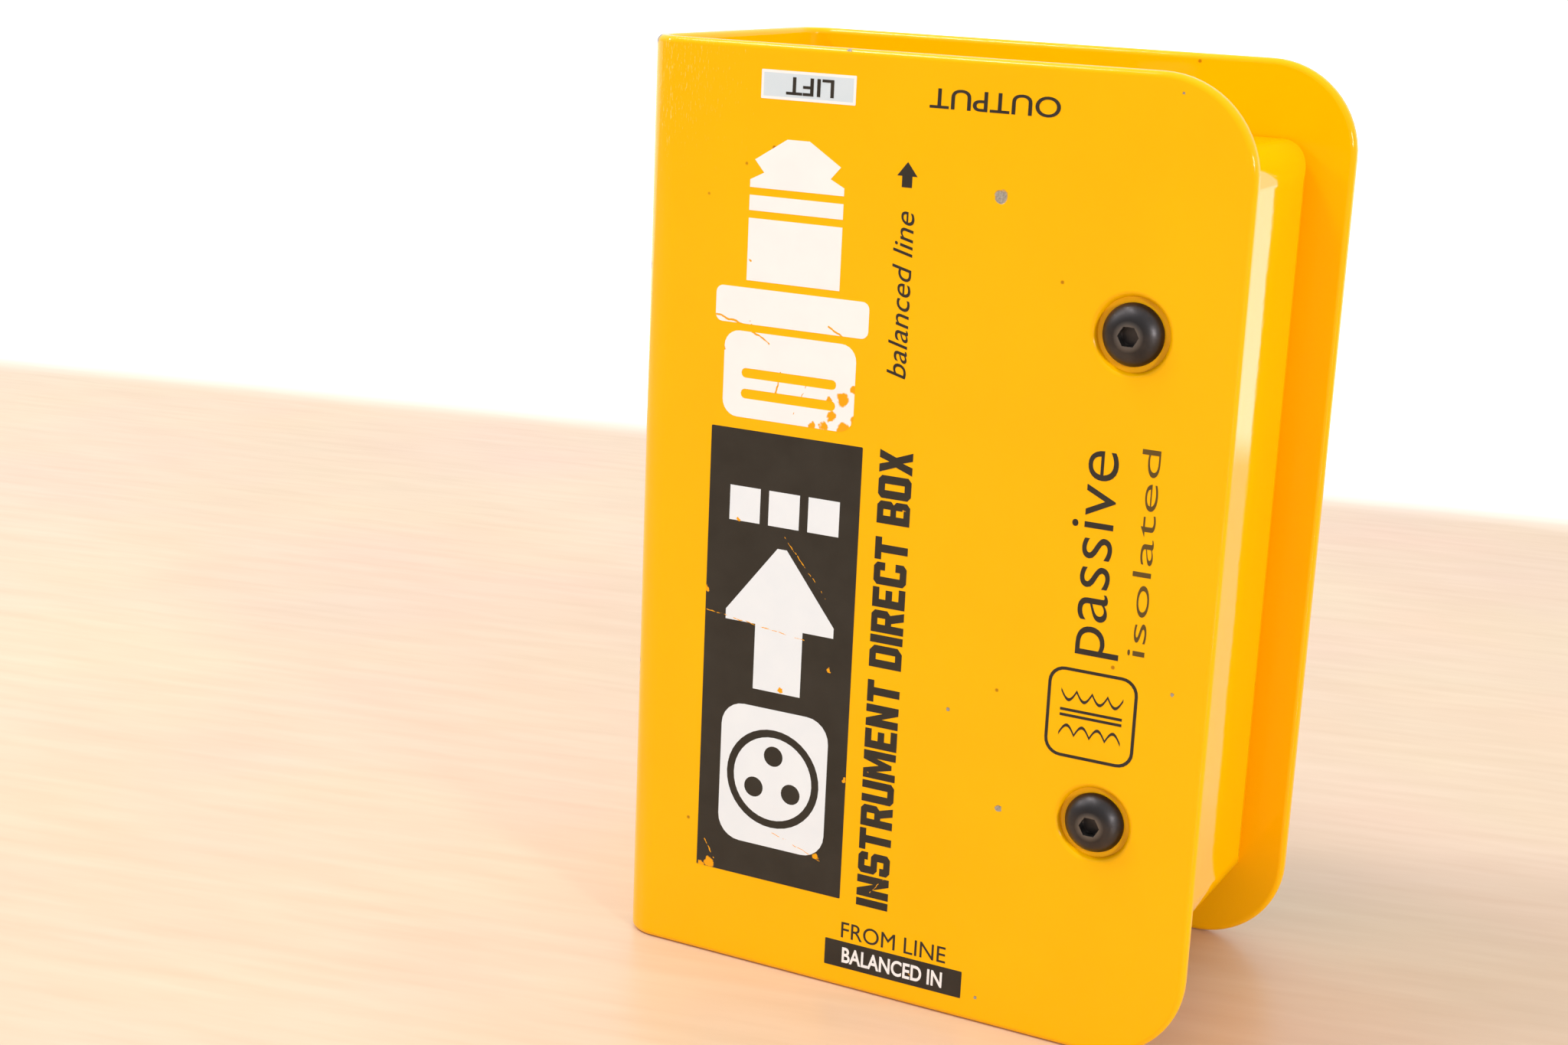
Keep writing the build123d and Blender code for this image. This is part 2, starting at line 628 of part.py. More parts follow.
def jack_bushing():
    """The threaded metal nose, clamped to the panel, with a collar behind it."""
    low = PANEL_HIGH_IN
    root = JACK_THREAD_RADIUS - JACK_THREAD_DEPTH
    thread_low = TRAY_HIGH + 0.4
    nose = 0.5
    mouth = 0.4
    turns = int((JACK_FACE - nose - thread_low) / JACK_PITCH)
    edges = [(JACK_BORE_RADIUS, JACK_CAVITY_HIGH), (JACK_COLLAR_RADIUS, JACK_CAVITY_HIGH)]
    edges += [(JACK_COLLAR_RADIUS, low), (JACK_THREAD_RADIUS, low), (JACK_THREAD_RADIUS, thread_low)]
    for turn in range(turns):
        foot = thread_low + turn * JACK_PITCH
        edges.append((root, foot + JACK_PITCH / 2))
        edges.append((JACK_THREAD_RADIUS, foot + JACK_PITCH))
    edges += [(root, JACK_FACE), (JACK_BORE_RADIUS + mouth, JACK_FACE)]
    edges.append((JACK_BORE_RADIUS, JACK_FACE - mouth))
    return turned(Polyline(*edges, close=True))


def jack_washer():
    """The flat washer under the jack's nut."""
    radius = 7.6
    ring = rod_z(JACK_X, JACK_Y, (TRAY_HIGH, TRAY_HIGH + JACK_WASHER_THICK), radius)
    return ring - rod_z(JACK_X, JACK_Y, (TRAY_HIGH - CUT, TRAY_HIGH + 2 * CUT), JACK_HOLE_RADIUS)


def jack_nut():
    """A hexagonal nut with its corners turned off."""
    low = TRAY_HIGH + JACK_WASHER_THICK
    high = low + JACK_NUT_HEIGHT
    corner = JACK_NUT_FLATS / math.sqrt(3)
    slope_in = 1.1
    slope_down = 0.6
    thread_play = 0.03
    turn = 14
    nut = hex_bar(JACK_NUT_FLATS, (low, high))
    nut = nut & turned(
        Line((0, low), (corner, low)),
        Line((corner, low), (corner, high - slope_down)),
        Line((corner, high - slope_down), (corner - slope_in, high)),
        Line((corner - slope_in, high), (0, high)),
        Line((0, high), (0, low)),
    )
    nut -= rod_z(0, 0, (low - CUT, high + CUT), JACK_THREAD_RADIUS + thread_play)
    return Pos(JACK_X, JACK_Y, 0) * Rot(0, 0, turn) * nut


def jack_leg_places():
    """Where the jack's two wide legs cross the board, along X."""
    return (LEAF_X + LEAF_THICK / 2, JACK_X - JACK_LEG_OFFSET)


def jack_housing():
    """The moulded jack body, open at the front for its lid, on the board behind."""
    corner = 1.0
    leg_half = 0.5
    leg_y = (BOARD_Y - 3 * CUT, BOARD_Y + CUT)
    leg_z = (LEAF_ROOT_Z + 0.3, JACK_CAVITY_HIGH - 0.1)
    x = (JACK_X - JACK_HALF, JACK_X + JACK_HALF)
    y = (JACK_Y - JACK_HALF, BOARD_Y)
    body = block(x, y, (JACK_FLOOR, PANEL_HIGH_IN))
    body = fillet(body.edges().filter_by(Axis.Y), corner)
    cavity_x = (x[0] + JACK_WALL, x[1] - JACK_WALL)
    cavity_y = (y[0] - CUT, BOARD_Y - JACK_WALL)
    body -= block(cavity_x, cavity_y, (JACK_FLOOR + JACK_WALL, JACK_CAVITY_HIGH))
    collar_z = (JACK_CAVITY_HIGH - CUT, PANEL_HIGH_IN + CUT)
    body -= rod_z(JACK_X, JACK_Y, collar_z, JACK_COLLAR_RADIUS)
    for leg in jack_leg_places():
        body -= block((leg - leg_half, leg + leg_half), leg_y, leg_z)
    return body


def jack_lid():
    """The snap-in lid over the jack's front."""
    thick = 1.2
    x = (JACK_X - JACK_HALF + JACK_WALL, JACK_X + JACK_HALF - JACK_WALL)
    y = (JACK_Y - JACK_HALF, JACK_Y - JACK_HALF + thick)
    return block(x, y, (JACK_FLOOR + JACK_WALL, JACK_CAVITY_HIGH))


def jack_tip_spring():
    """The leaf whose bend rests in the groove of a plug's tip."""
    bend_in = -2.2
    bend_z = (101.0, 97.4, 93.6)
    end_z = 92.0
    line = [(0, LEAF_ROOT_Z), (0, bend_z[0]), (bend_in, bend_z[1]), (0, bend_z[2]), (0, end_z)]
    outline = [(LEAF_X + dx, z) for dx, z in line]
    outline += [(LEAF_X + LEAF_THICK + dx, z) for dx, z in reversed(line)]
    return prism_y(outline, (JACK_Y - LEAF_HALF, JACK_Y + LEAF_HALF))


def jack_tip_terminal():
    """The tip's terminal, from the leaf's root to the board."""
    x = (LEAF_X, LEAF_X + LEAF_THICK)
    return block(x, (JACK_Y - LEAF_HALF, LEG_END), (LEAF_ROOT_Z + 0.35, JACK_CAVITY_HIGH - 0.2))


def jack_sleeve_terminal():
    """The earth contact: a ring under the bushing's collar with a leg to the board."""
    thick = 0.5
    outer_radius = 6.3
    inner_radius = 3.6
    flat_x = LEAF_X - 0.6
    leg_half = 0.2
    leg_z = (JACK_CAVITY_HIGH - 1.2, JACK_CAVITY_HIGH - 0.2)
    low = JACK_CAVITY_HIGH - thick
    ring = rod_z(JACK_X, JACK_Y, (low, JACK_CAVITY_HIGH), outer_radius)
    ring -= rod_z(JACK_X, JACK_Y, (low - CUT, JACK_CAVITY_HIGH + CUT), inner_radius)
    side_y = (JACK_Y - OPEN_CUT, JACK_Y + OPEN_CUT)
    ring -= block((flat_x, JACK_X + OPEN_CUT), side_y, (low - CUT, JACK_CAVITY_HIGH + CUT))
    leg_x = JACK_X - JACK_LEG_OFFSET
    return ring + block((leg_x - leg_half, leg_x + leg_half), (JACK_Y, LEG_END), leg_z)


# ---- lift switch ----


def lift_switch_body():
    """The switch's moulded case, open at the top, standing on the board."""
    front_wall = 0.4
    corner = 0.5
    x = (LIFT_X - LIFT_BODY_HALF, LIFT_X + LIFT_BODY_HALF)
    y = (LIFT_Y - LIFT_BODY_HALF - front_wall, BOARD_Y)
    case = block(x, y, (LIFT_BODY_LOW, LIFT_BODY_HIGH))
    case = fillet(case.edges().filter_by(Axis.Z), corner)
    half = LIFT_CAVITY_HALF
    case -= block(
        (LIFT_X - half, LIFT_X + half),
        (LIFT_Y - half, LIFT_Y + half),
        (LIFT_CAVITY_FLOOR, LIFT_BODY_HIGH + CUT),
    )
    return case


def lift_plunger():
    """The sliding stem: square in the case and round through the button."""
    half = LIFT_STEM_HALF
    stem = block(
        (LIFT_X - half, LIFT_X + half),
        (LIFT_Y - half, LIFT_Y + half),
        (LIFT_STEM_LOW, LIFT_BODY_HIGH),
    )
    return stem + rod_z(LIFT_X, LIFT_Y, (LIFT_BODY_HIGH, LIFT_STEM_TOP), LIFT_STEM_RADIUS)


def lift_button():
    """The round cap that is pressed, dished on top and bored for the stem."""
    low = LIFT_BODY_HIGH + 3.0
    edge = 0.6
    dish_radius = 9.0
    dish_depth = 0.35
    cap = rod_z(LIFT_X, LIFT_Y, (low, LIFT_BUTTON_TOP), LIFT_BUTTON_RADIUS)
    cap = fillet(cap.edges().filter_by(GeomType.CIRCLE).sort_by(Axis.Z)[-1], edge)
    cap -= Pos(LIFT_X, LIFT_Y, LIFT_BUTTON_TOP + dish_radius - dish_depth) * Sphere(dish_radius)
    return cap - rod_z(LIFT_X, LIFT_Y, (low - CUT, LIFT_STEM_TOP), LIFT_STEM_RADIUS)


def lift_spring():
    """The coil spring under the stem."""
    wire = 0.15
    pitch = 1.1
    coil_radius = 1.7
    room = LIFT_STEM_LOW - LIFT_CAVITY_FLOOR
    helix = Helix(pitch=pitch, height=room - 4 * wire, radius=coil_radius, center=(0, 0, 0))
    section = Plane(helix @ 0, z_dir=helix % 0) * Circle(wire)
    return Pos(LIFT_X, LIFT_Y, LIFT_CAVITY_FLOOR + 2 * wire) * sweep(section, helix)


def lift_contact_bridge():
    """The contact strip on the stem's side that joins two of the switch's pins."""
    x = LIFT_X + LIFT_STEM_HALF
    thick = 0.45
    half = 1.5
    return block((x, x + thick), (LIFT_Y - half, LIFT_Y + half), LIFT_PIN_Z[1:])


def lift_pin_places():
    """Where the switch's six pins stand, as (x, z)."""
    return [(x, z) for x in (LIFT_X - LIFT_PIN_OFFSET, LIFT_X + LIFT_PIN_OFFSET) for z in LIFT_PIN_Z]


def lift_switch_pins():
    """The switch's six pins."""
    return [board_leg(x, z) for x, z in lift_pin_places()]


# ---- circuit board and what is on it ----


def board_leg(x, z):
    """A square leg from the board's front face to its solder side."""
    return block((x - LEG_HALF, x + LEG_HALF), (BOARD_Y, LEG_END), (z - LEG_HALF, z + LEG_HALF))


def leg_places():
    """Where legs pass through the board."""
    places = lift_pin_places()
    places += [(COIL_X + dx, COIL_Z + dz) for dx in COIL_PIN_OFFSETS for dz in COIL_PIN_ROWS]
    places += [(x, HEADER_MIDDLE_Z) for x in HEADER_XS]
    for x, z in RESISTOR_PLACES:
        places += [(x - RESISTOR_PITCH_HALF, z), (x + RESISTOR_PITCH_HALF, z)]
    for x, z in CAPACITOR_PLACES:
        places += [(x - CAPACITOR_LEG_OFFSET, z), (x + CAPACITOR_LEG_OFFSET, z)]
    return places


def circuit_board():
    """The board, drilled for its legs and standoffs."""
    board = block(BOARD_X, (BOARD_Y, BOARD_BACK), BOARD_Z)
    board = fillet(board.edges().filter_by(Axis.Y), BOARD_CORNER)
    through = (BOARD_Y - CUT, BOARD_BACK + CUT)
    for x, z in leg_places():
        board -= rod_y(x, z, through, LEG_HOLE_RADIUS)
    for x in jack_leg_places():
        board -= rod_y(x, JACK_LEG_Z, through, JACK_LEG_HOLE_RADIUS)
    for z in STANDOFF_Z:
        board -= rod_y(STANDOFF_X, z, through, M3_HOLE_RADIUS)
    return board


def board_standoffs():
    """Two hexagonal standoffs pressed in the rear flange."""
    flange_in = TRAY_REAR - SHEET
    standoffs = []
    for z in STANDOFF_Z:
        height = flange_in - BOARD_BACK
        bar = Pos(STANDOFF_X, BOARD_BACK, z) * Rot(-90, 0, 0) * hex_bar(M3_FLATS, (0, height))
        bar += rod_y(STANDOFF_X, z, (flange_in, TRAY_REAR), STANDOFF_SHANK_RADIUS)
        bar -= rod_y(STANDOFF_X, z, (BOARD_BACK - CUT, flange_in), M3_BORE_RADIUS)
        standoffs.append(bar)
    return standoffs


def board_screws():
    """Two cheese head screws with cross recesses, through the board into the standoffs."""
    head_radius = 2.7
    head_height = 2.0
    head_edge = 0.6
    length = 6.6
    recess_y = (-head_height - CUT, -head_height / 2)
    screw = rod_y(0, 0, (-head_height, 0), head_radius)
    screw = fillet(screw.edges().filter_by(GeomType.CIRCLE).sort_by(Axis.Y)[0], head_edge)
    screw += rod_y(0, 0, (0, length), M3_RADIUS)
    screw -= block((-CROSS_REACH, CROSS_REACH), recess_y, (-CROSS_HALF, CROSS_HALF))
    screw -= block((-CROSS_HALF, CROSS_HALF), recess_y, (-CROSS_REACH, CROSS_REACH))
    return [Pos(STANDOFF_X, BOARD_Y, z) * screw for z in STANDOFF_Z]


def transformer_can():
    """The drawn screening can, open towards the board."""
    x = (COIL_X - CAN_HALF, COIL_X + CAN_HALF)
    z = (COIL_Z - CAN_HALF, COIL_Z + CAN_HALF)
    can = block(x, (BOARD_Y - CAN_DEPTH, BOARD_Y), z)
    can = fillet(can.edges().filter_by(Axis.Y) + can.faces().sort_by(Axis.Y)[0].edges(), CAN_CORNER)
    room_x = (x[0] + CAN_WALL, x[1] - CAN_WALL)
    room_z = (z[0] + CAN_WALL, z[1] - CAN_WALL)
    room = block(room_x, (BOARD_Y - CAN_DEPTH + CAN_WALL, BOARD_Y + CUT), room_z)
    edges = room.edges().filter_by(Axis.Y) + room.faces().sort_by(Axis.Y)[0].edges()
    return can - fillet(edges, CAN_CORNER - CAN_WALL)


def transformer_core():
    """The stack of steel laminations, with a window each side of the middle limb."""
    y = (CORE_MIDDLE_Y - CORE_STACK, CORE_MIDDLE_Y + CORE_STACK)
    span = (-CORE_HALF, CORE_HALF)
    core = block(span, y, span)
    for low, high in ((-WINDOW_HALF, -LIMB_HALF), (LIMB_HALF, WINDOW_HALF)):
        core -= block((low, high), (y[0] - CUT, y[1] + CUT), (-WINDOW_HALF, WINDOW_HALF))
    return Pos(COIL_X, 0, COIL_Z) * core


def transformer_bobbin():
    """The moulded bobbin: a tube round the limb with a flange at each end."""
    play = 0.1
    flange_thick = 0.8
    tube_x = LIMB_HALF + BOBBIN_WALL
    tube_y = CORE_STACK + BOBBIN_WALL
    rim_x = WINDOW_HALF - play
    rim_y = CORE_STACK + 2.9
    y = CORE_MIDDLE_Y
    height = WINDOW_HALF - play
    bobbin = block((-tube_x, tube_x), (y - tube_y, y + tube_y), (-height, height))
    for low, high in ((-height, -height + flange_thick), (height - flange_thick, height)):
        bobbin += block((-rim_x, rim_x), (y - rim_y, y + rim_y), (low, high))
    hole_z = (-height - CUT, height + CUT)
    bobbin -= block((-LIMB_HALF, LIMB_HALF), (y - CORE_STACK, y + CORE_STACK), hole_z)
    return Pos(COIL_X, 0, COIL_Z) * bobbin


def transformer_winding():
    """The wire wound on the bobbin, as one closed ring."""
    reach_x = WINDOW_HALF - 0.5
    reach_y = CORE_STACK + 2.5
    height = WINDOW_HALF - 0.9
    corner = 1.2
    y = CORE_MIDDLE_Y
    coil = block((-reach_x, reach_x), (y - reach_y, y + reach_y), (-height, height))
    coil = fillet(coil.edges().filter_by(Axis.Z), corner)
    hole_y = CORE_STACK + BOBBIN_WALL
    hole_x = LIMB_HALF + BOBBIN_WALL
    coil -= block((-hole_x, hole_x), (y - hole_y, y + hole_y), (-height - CUT, height + CUT))
    return Pos(COIL_X, 0, COIL_Z) * coil


def transformer_pins():
    """The transformer's six pins."""
    return [board_leg(COIL_X + dx, COIL_Z + dz) for dx in COIL_PIN_OFFSETS for dz in COIL_PIN_ROWS]


def resistors():
    """Four axial resistors, each with its legs bent down through the board."""
    clear = 0.3
    edge = 0.4
    y = BOARD_Y - RESISTOR_RADIUS - clear
    wire = LEG_WIRE_RADIUS
    reach = RESISTOR_PITCH_HALF
    parts = []
    for x, z in RESISTOR_PLACES:
        resistor = rod_x(y, z, (x - RESISTOR_HALF, x + RESISTOR_HALF), RESISTOR_RADIUS)
        resistor = fillet(resistor.edges().filter_by(GeomType.CIRCLE), edge)
        resistor += rod_x(y, z, (x - reach - wire, x + reach + wire), wire)
        for leg in (x - reach, x + reach):
            resistor += rod_y(leg, z, (y, LEG_END), wire)
        parts.append(resistor)
    return parts


def film_capacitors():
    """Two boxed film capacitors on the board."""
    half_x = 3.6
    half_z = 2.2
    height = 6.5
    edge = 0.4
    parts = []
    for x, z in CAPACITOR_PLACES:
        body = block((x - half_x, x + half_x), (BOARD_Y - height, BOARD_Y), (z - half_z, z + half_z))
        body = fillet(body.edges(), edge)
        for leg in (x - CAPACITOR_LEG_OFFSET, x + CAPACITOR_LEG_OFFSET):
            body += rod_y(leg, z, (BOARD_Y - CUT, LEG_END), LEG_WIRE_RADIUS)
        parts.append(body)
    return parts


def lead_header():
    """The moulded block that takes the three leads."""
    end_wall = 2.2
    corner = 1.0
    header = block((HEADER_XS[0] - end_wall, HEADER_XS[-1] + end_wall), HEADER_Y, HEADER_Z)
    return chamfer(header.edges().filter_by(Axis.X).sort_by(Axis.Y)[0], corner)


def header_pins():
    """The header's three pins."""
    return [board_leg(x, HEADER_MIDDLE_Z) for x in HEADER_XS]


def lead(start, start_rise, end, end_drop):
    """An insulated lead that leaves start upwards and enters end upwards, with round bends."""
    points = [
        start,
        (start[0], start[1], start[2] + start_rise),
        (end[0], end[1], end[2] - end_drop),
        end,
    ]
    route = FilletPolyline(*points, radius=LEAD_BEND)
    section = Plane(route @ 0, z_dir=route % 0) * Circle(LEAD_RADIUS)
    return sweep(section, route)


def signal_leads():
    """The three leads from the socket's solder cups to the header, in contact order."""
    y = 29.5
    rises = (8.5, 7.5, 10.0)
    drop = 6.0
    header_order = (2, 1, 0)
    leads = []
    for (x, cup_y), rise, place in zip(contact_places(), rises, header_order):
        start = (x, cup_y, CONTACT_END - CUP_DEPTH)
        end = (HEADER_XS[place], y, HEADER_Z[0])
        leads.append(lead(start, rise, end, drop))
    return leads


# ---- earth tag ----


def earth_screw():
    """A pan head screw through the low end panel, its head outside."""
    head_height = 1.8
    head_radius = 2.75
    head_edge = 0.8
    length = 8.0
    recess_z = (TRAY_LOW - 3.0, TRAY_LOW - 1.0)
    screw = rod_z(EARTH_X, EARTH_Y, (TRAY_LOW - head_height, TRAY_LOW), head_radius)
    screw = fillet(screw.edges().filter_by(GeomType.CIRCLE).sort_by(Axis.Z)[0], head_edge)
    screw += rod_z(EARTH_X, EARTH_Y, (TRAY_LOW, TRAY_LOW + length), M3_RADIUS)
    for half_x, half_y in ((CROSS_REACH, CROSS_HALF), (CROSS_HALF, CROSS_REACH)):
        recess_x = (EARTH_X - half_x, EARTH_X + half_x)
        screw -= block(recess_x, (EARTH_Y - half_y, EARTH_Y + half_y), recess_z)
    return screw


def earth_tag():
    """The ring tag under the nut, with its solder tail bent up."""
    ring_radius = 3.6
    tail_half = 1.5
    tail_height = 7.0
    low = PANEL_LOW_IN
    high = low + EARTH_TAG_THICK
    end_y = EARTH_Y + EARTH_TAG_REACH
    x = (EARTH_X - tail_half, EARTH_X + tail_half)
    tag = rod_z(EARTH_X, EARTH_Y, (low, high), ring_radius)
    tag += block(x, (EARTH_Y, end_y), (low, high))
    tag += block(x, (end_y - EARTH_TAG_THICK, end_y), (low, low + tail_height))
    return tag - rod_z(EARTH_X, EARTH_Y, (low - CUT, high + CUT), M3_HOLE_RADIUS)


def earth_washer():
    """The toothed washer between the tag and the nut."""
    ring_radius = 2.6
    teeth = 10
    tooth_x = (2.3, 3.3)
    tooth_half = 0.35
    low = PANEL_LOW_IN + EARTH_TAG_THICK
    high = low + EARTH_WASHER_THICK
    washer = rod_z(0, 0, (low, high), ring_radius)
    for index in range(teeth):
        tooth = block(tooth_x, (-tooth_half, tooth_half), (low, high))
        washer += Rot(0, 0, 360 / teeth * index) * tooth
    washer -= rod_z(0, 0, (low - CUT, high + CUT), M3_HOLE_RADIUS)
    return Pos(EARTH_X, EARTH_Y, 0) * washer


def earth_nut():
    """The nut that clamps the tag and its washer."""
    return Pos(EARTH_X, EARTH_Y, PANEL_LOW_IN + EARTH_TAG_THICK + EARTH_WASHER_THICK) * small_nut()


def earth_lead():
    """The lead from the tag's tail up to the board's lower edge."""
    tail_z = 5.0
    side_step = 3.0
    board_reach = 8.0
    straight = 10.0
    start = (EARTH_X, EARTH_Y + EARTH_TAG_REACH + LEAD_RADIUS, PANEL_LOW_IN + tail_z)
    end = (EARTH_X + side_step, BOARD_Y - LEAD_RADIUS, BOARD_Z[0] + board_reach)
    return lead(start, straight, end, straight)


def save(name, solids):
    """Writes one node, moved so that the assembly's origin is under its middle."""
    if not isinstance(solids, list):
        solids = [solids]
    pieces = []
    for solid in solids:
        pieces += [Location(-ORIGIN) * piece for piece in solid.solids()]
    whole = pieces[0] if len(pieces) == 1 else Compound(children=pieces)
    export_step(whole, f"parts/{name}.step")


def main():
    os.makedirs("parts", exist_ok=True)
    screen_lead, cold_lead, hot_lead = signal_leads()
    save("outer_shell", outer_shell())
    save("inner_tray", inner_tray())
    save("no_slip_pad", no_slip_pad())
    seat = SPOTFACE_DEPTH
    save("front_cover_screws", [into_front(SCREW_X, z, seat) * cover_screw() for z in SCREW_Z])
    save("rear_cover_screws", [into_rear(SCREW_X, z, seat) * cover_screw() for z in SCREW_Z])
    save("clinch_nuts", clinch_nuts())
    save("xlr_shell", xlr_shell())
    save("xlr_insert", xlr_insert())
    save("xlr_rear_insert", xlr_rear_insert())
    save("xlr_contacts", xlr_contacts())
    save("xlr_push_tab", xlr_push_tab())
    save("xlr_latch_hook", xlr_latch_hook())
    save("xlr_latch_pin", xlr_latch_pin())
    save("xlr_latch_spring", xlr_latch_spring())
    save("xlr_screws", xlr_screws())
    save("xlr_screw_nuts", xlr_screw_nuts())
    save("jack_bushing", Pos(JACK_X, JACK_Y, 0) * jack_bushing())
    save("jack_washer", jack_washer())
    save("jack_nut", jack_nut())
    save("jack_housing", jack_housing())
    save("jack_lid", jack_lid())
    save("jack_tip_spring", jack_tip_spring())
    save("jack_tip_terminal", jack_tip_terminal())
    save("jack_sleeve_terminal", jack_sleeve_terminal())
    save("lift_switch_body", lift_switch_body())
    save("lift_plunger", lift_plunger())
    save("lift_button", lift_button())
    save("lift_spring", lift_spring())
    save("lift_contact_bridge", lift_contact_bridge())
    save("lift_switch_pins", lift_switch_pins())
    save("circuit_board", circuit_board())
    save("board_standoffs", board_standoffs())
    save("board_screws", board_screws())
    save("transformer_can", transformer_can())
    save("transformer_core", transformer_core())
    save("transformer_bobbin", transformer_bobbin())
    save("transformer_winding", transformer_winding())
    save("transformer_pins", transformer_pins())
    save("resistors", resistors())
    save("film_capacitors", film_capacitors())
    save("lead_header", lead_header())
    save("header_pins", header_pins())
    save("hot_lead", hot_lead)
    save("cold_lead", cold_lead)
    save("screen_lead", screen_lead)
    save("earth_screw", earth_screw())
    save("earth_tag", earth_tag())
    save("earth_washer", earth_washer())
    save("earth_nut", earth_nut())
    save("earth_lead", earth_lead())


main()
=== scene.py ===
import math
import random

import bpy
from mathutils import Matrix, Vector


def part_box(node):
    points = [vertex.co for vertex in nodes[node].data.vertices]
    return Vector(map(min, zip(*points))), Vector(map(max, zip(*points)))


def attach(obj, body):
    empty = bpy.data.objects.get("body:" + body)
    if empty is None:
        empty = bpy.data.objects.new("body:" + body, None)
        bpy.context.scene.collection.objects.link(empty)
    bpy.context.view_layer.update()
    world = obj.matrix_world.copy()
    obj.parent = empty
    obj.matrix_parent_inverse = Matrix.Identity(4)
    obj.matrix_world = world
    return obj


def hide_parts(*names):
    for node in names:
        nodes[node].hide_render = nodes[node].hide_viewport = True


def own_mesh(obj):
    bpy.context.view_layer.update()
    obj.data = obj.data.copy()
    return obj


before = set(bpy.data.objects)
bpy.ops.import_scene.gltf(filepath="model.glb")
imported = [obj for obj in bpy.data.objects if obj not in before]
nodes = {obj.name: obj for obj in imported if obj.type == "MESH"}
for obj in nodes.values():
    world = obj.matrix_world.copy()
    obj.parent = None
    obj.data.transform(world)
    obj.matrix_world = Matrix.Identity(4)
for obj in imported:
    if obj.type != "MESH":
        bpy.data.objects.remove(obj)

bpy.ops.object.select_all(action="DESELECT")
scene = bpy.context.scene
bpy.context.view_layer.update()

# ---- camera ----
# A slightly long lens held a little above the box, turned to its open side and tilted a touch.
# Places are metres in the frame's own axes: X to the open side, Y to the rear plate, Z up.
MM = 0.001
CAMERA_PLACE = Vector((119.5, -295.5, 143.4)) * MM
CAMERA_YAW = math.radians(26.89)
CAMERA_PITCH = math.radians(14.54)
CAMERA_ROLL = math.radians(-2.50)
LENS_LENGTH = 54.11
SENSOR_WIDTH = 36.0

forward = Vector((
    -math.sin(CAMERA_YAW) * math.cos(CAMERA_PITCH),
    math.cos(CAMERA_YAW) * math.cos(CAMERA_PITCH),
    -math.sin(CAMERA_PITCH),
))
level_right = Vector((math.cos(CAMERA_YAW), math.sin(CAMERA_YAW), 0))
level_down = forward.cross(level_right)
right = math.cos(CAMERA_ROLL) * level_right + math.sin(CAMERA_ROLL) * level_down
down = -math.sin(CAMERA_ROLL) * level_right + math.cos(CAMERA_ROLL) * level_down
bpy.ops.object.camera_add()
camera = bpy.context.object
camera.name = "camera"
camera.data.lens = LENS_LENGTH
camera.data.sensor_width = SENSOR_WIDTH
turn = Matrix((right, -down, -forward)).transposed().to_4x4()
camera.matrix_world = Matrix.Translation(CAMERA_PLACE) @ turn
scene.camera = camera

# ---- floor and light ----
# A pale, plain table top that fades to white far behind the box. The room is white behind and above
# the box and dimmer in front of it. Softboxes at the right, at the left and overhead put the
# glints on its rounded edges.
FLOOR_SIZE = 6.0
FADE_START = 0.29
FADE_END = 0.345
FADE_TURN = math.radians(-11.6)
FADE_GLOW = 0.6
GRAIN_SCALE = (7, 60, 1)
PATCH_SCALE = 14.0
PATCH_SHARE = 0.16
ROOM_BEHIND = 1.06
ROOM_IN_FRONT = 0.42
ROOM_BRIGHT_WAY = (0, 0.75, 0.66)
ROOM_BLEND = 0.55
SOFTBOX_AIM = Vector((0, 0, 0.06))
scene.view_settings.view_transform = "Standard"


def linear(hex_colour):
    """A colour written as sRGB hex, as linear RGBA."""
    parts = [int(hex_colour[i:i + 2], 16) / 255 for i in (1, 3, 5)]
    return [c / 12.92 if c <= 0.04045 else ((c + 0.055) / 1.055) ** 2.4 for c in parts] + [1.0]


def new_material(name):
    """A node material, its tree and its Principled shader."""
    material = bpy.data.materials.new(name)
    material.use_nodes = True
    return material, material.node_tree, material.node_tree.nodes["Principled BSDF"]


def add_node(tree, kind, settings=None, inputs=None):
    """One node. Settings are its own, and inputs go to its sockets by name or number, linked or set."""
    node = tree.nodes.new(kind)
    for key, value in (settings or {}).items():
        setattr(node, key, value)
    for key, value in (inputs or {}).items():
        if isinstance(value, bpy.types.NodeSocket):
            tree.links.new(value, node.inputs[key])
        else:
            node.inputs[key].default_value = value
    return node


table_finish, tree, shader = new_material("limed_table_top")
place = add_node(tree, "ShaderNodeTexCoord").outputs["Object"]
turned = add_node(tree, "ShaderNodeMapping", inputs={"Vector": place, "Rotation": (0, 0, FADE_TURN)})
depth = add_node(tree, "ShaderNodeSeparateXYZ", inputs={0: turned.outputs["Vector"]}).outputs["Y"]
fade = add_node(tree, "ShaderNodeMapRange", {"interpolation_type": "SMOOTHSTEP"},
                {"Value": depth, "From Min": FADE_START, "From Max": FADE_END}).outputs["Result"]
grain_place = add_node(tree, "ShaderNodeMapping",
                       inputs={"Vector": turned.outputs["Vector"], "Scale": GRAIN_SCALE})
grain = add_node(tree, "ShaderNodeTexNoise", inputs={"Vector": grain_place.outputs["Vector"], "Detail": 3.0})
cloud = add_node(tree, "ShaderNodeTexNoise", inputs={"Vector": place, "Scale": PATCH_SCALE, "Detail": 3.0})
tone = add_node(tree, "ShaderNodeMix", {"data_type": "RGBA"},
                {0: grain.outputs["Fac"], 6: linear("#D9B898"), 7: linear("#E9CFB4")})
patchy = add_node(tree, "ShaderNodeMix", {"data_type": "RGBA", "blend_type": "MULTIPLY"},
                  {0: PATCH_SHARE, 6: tone.outputs[2], 7: cloud.outputs["Color"]})
faded = add_node(tree, "ShaderNodeMix", {"data_type": "RGBA"},
                 {0: fade, 6: patchy.outputs[2], 7: linear("#FFFFFF")})
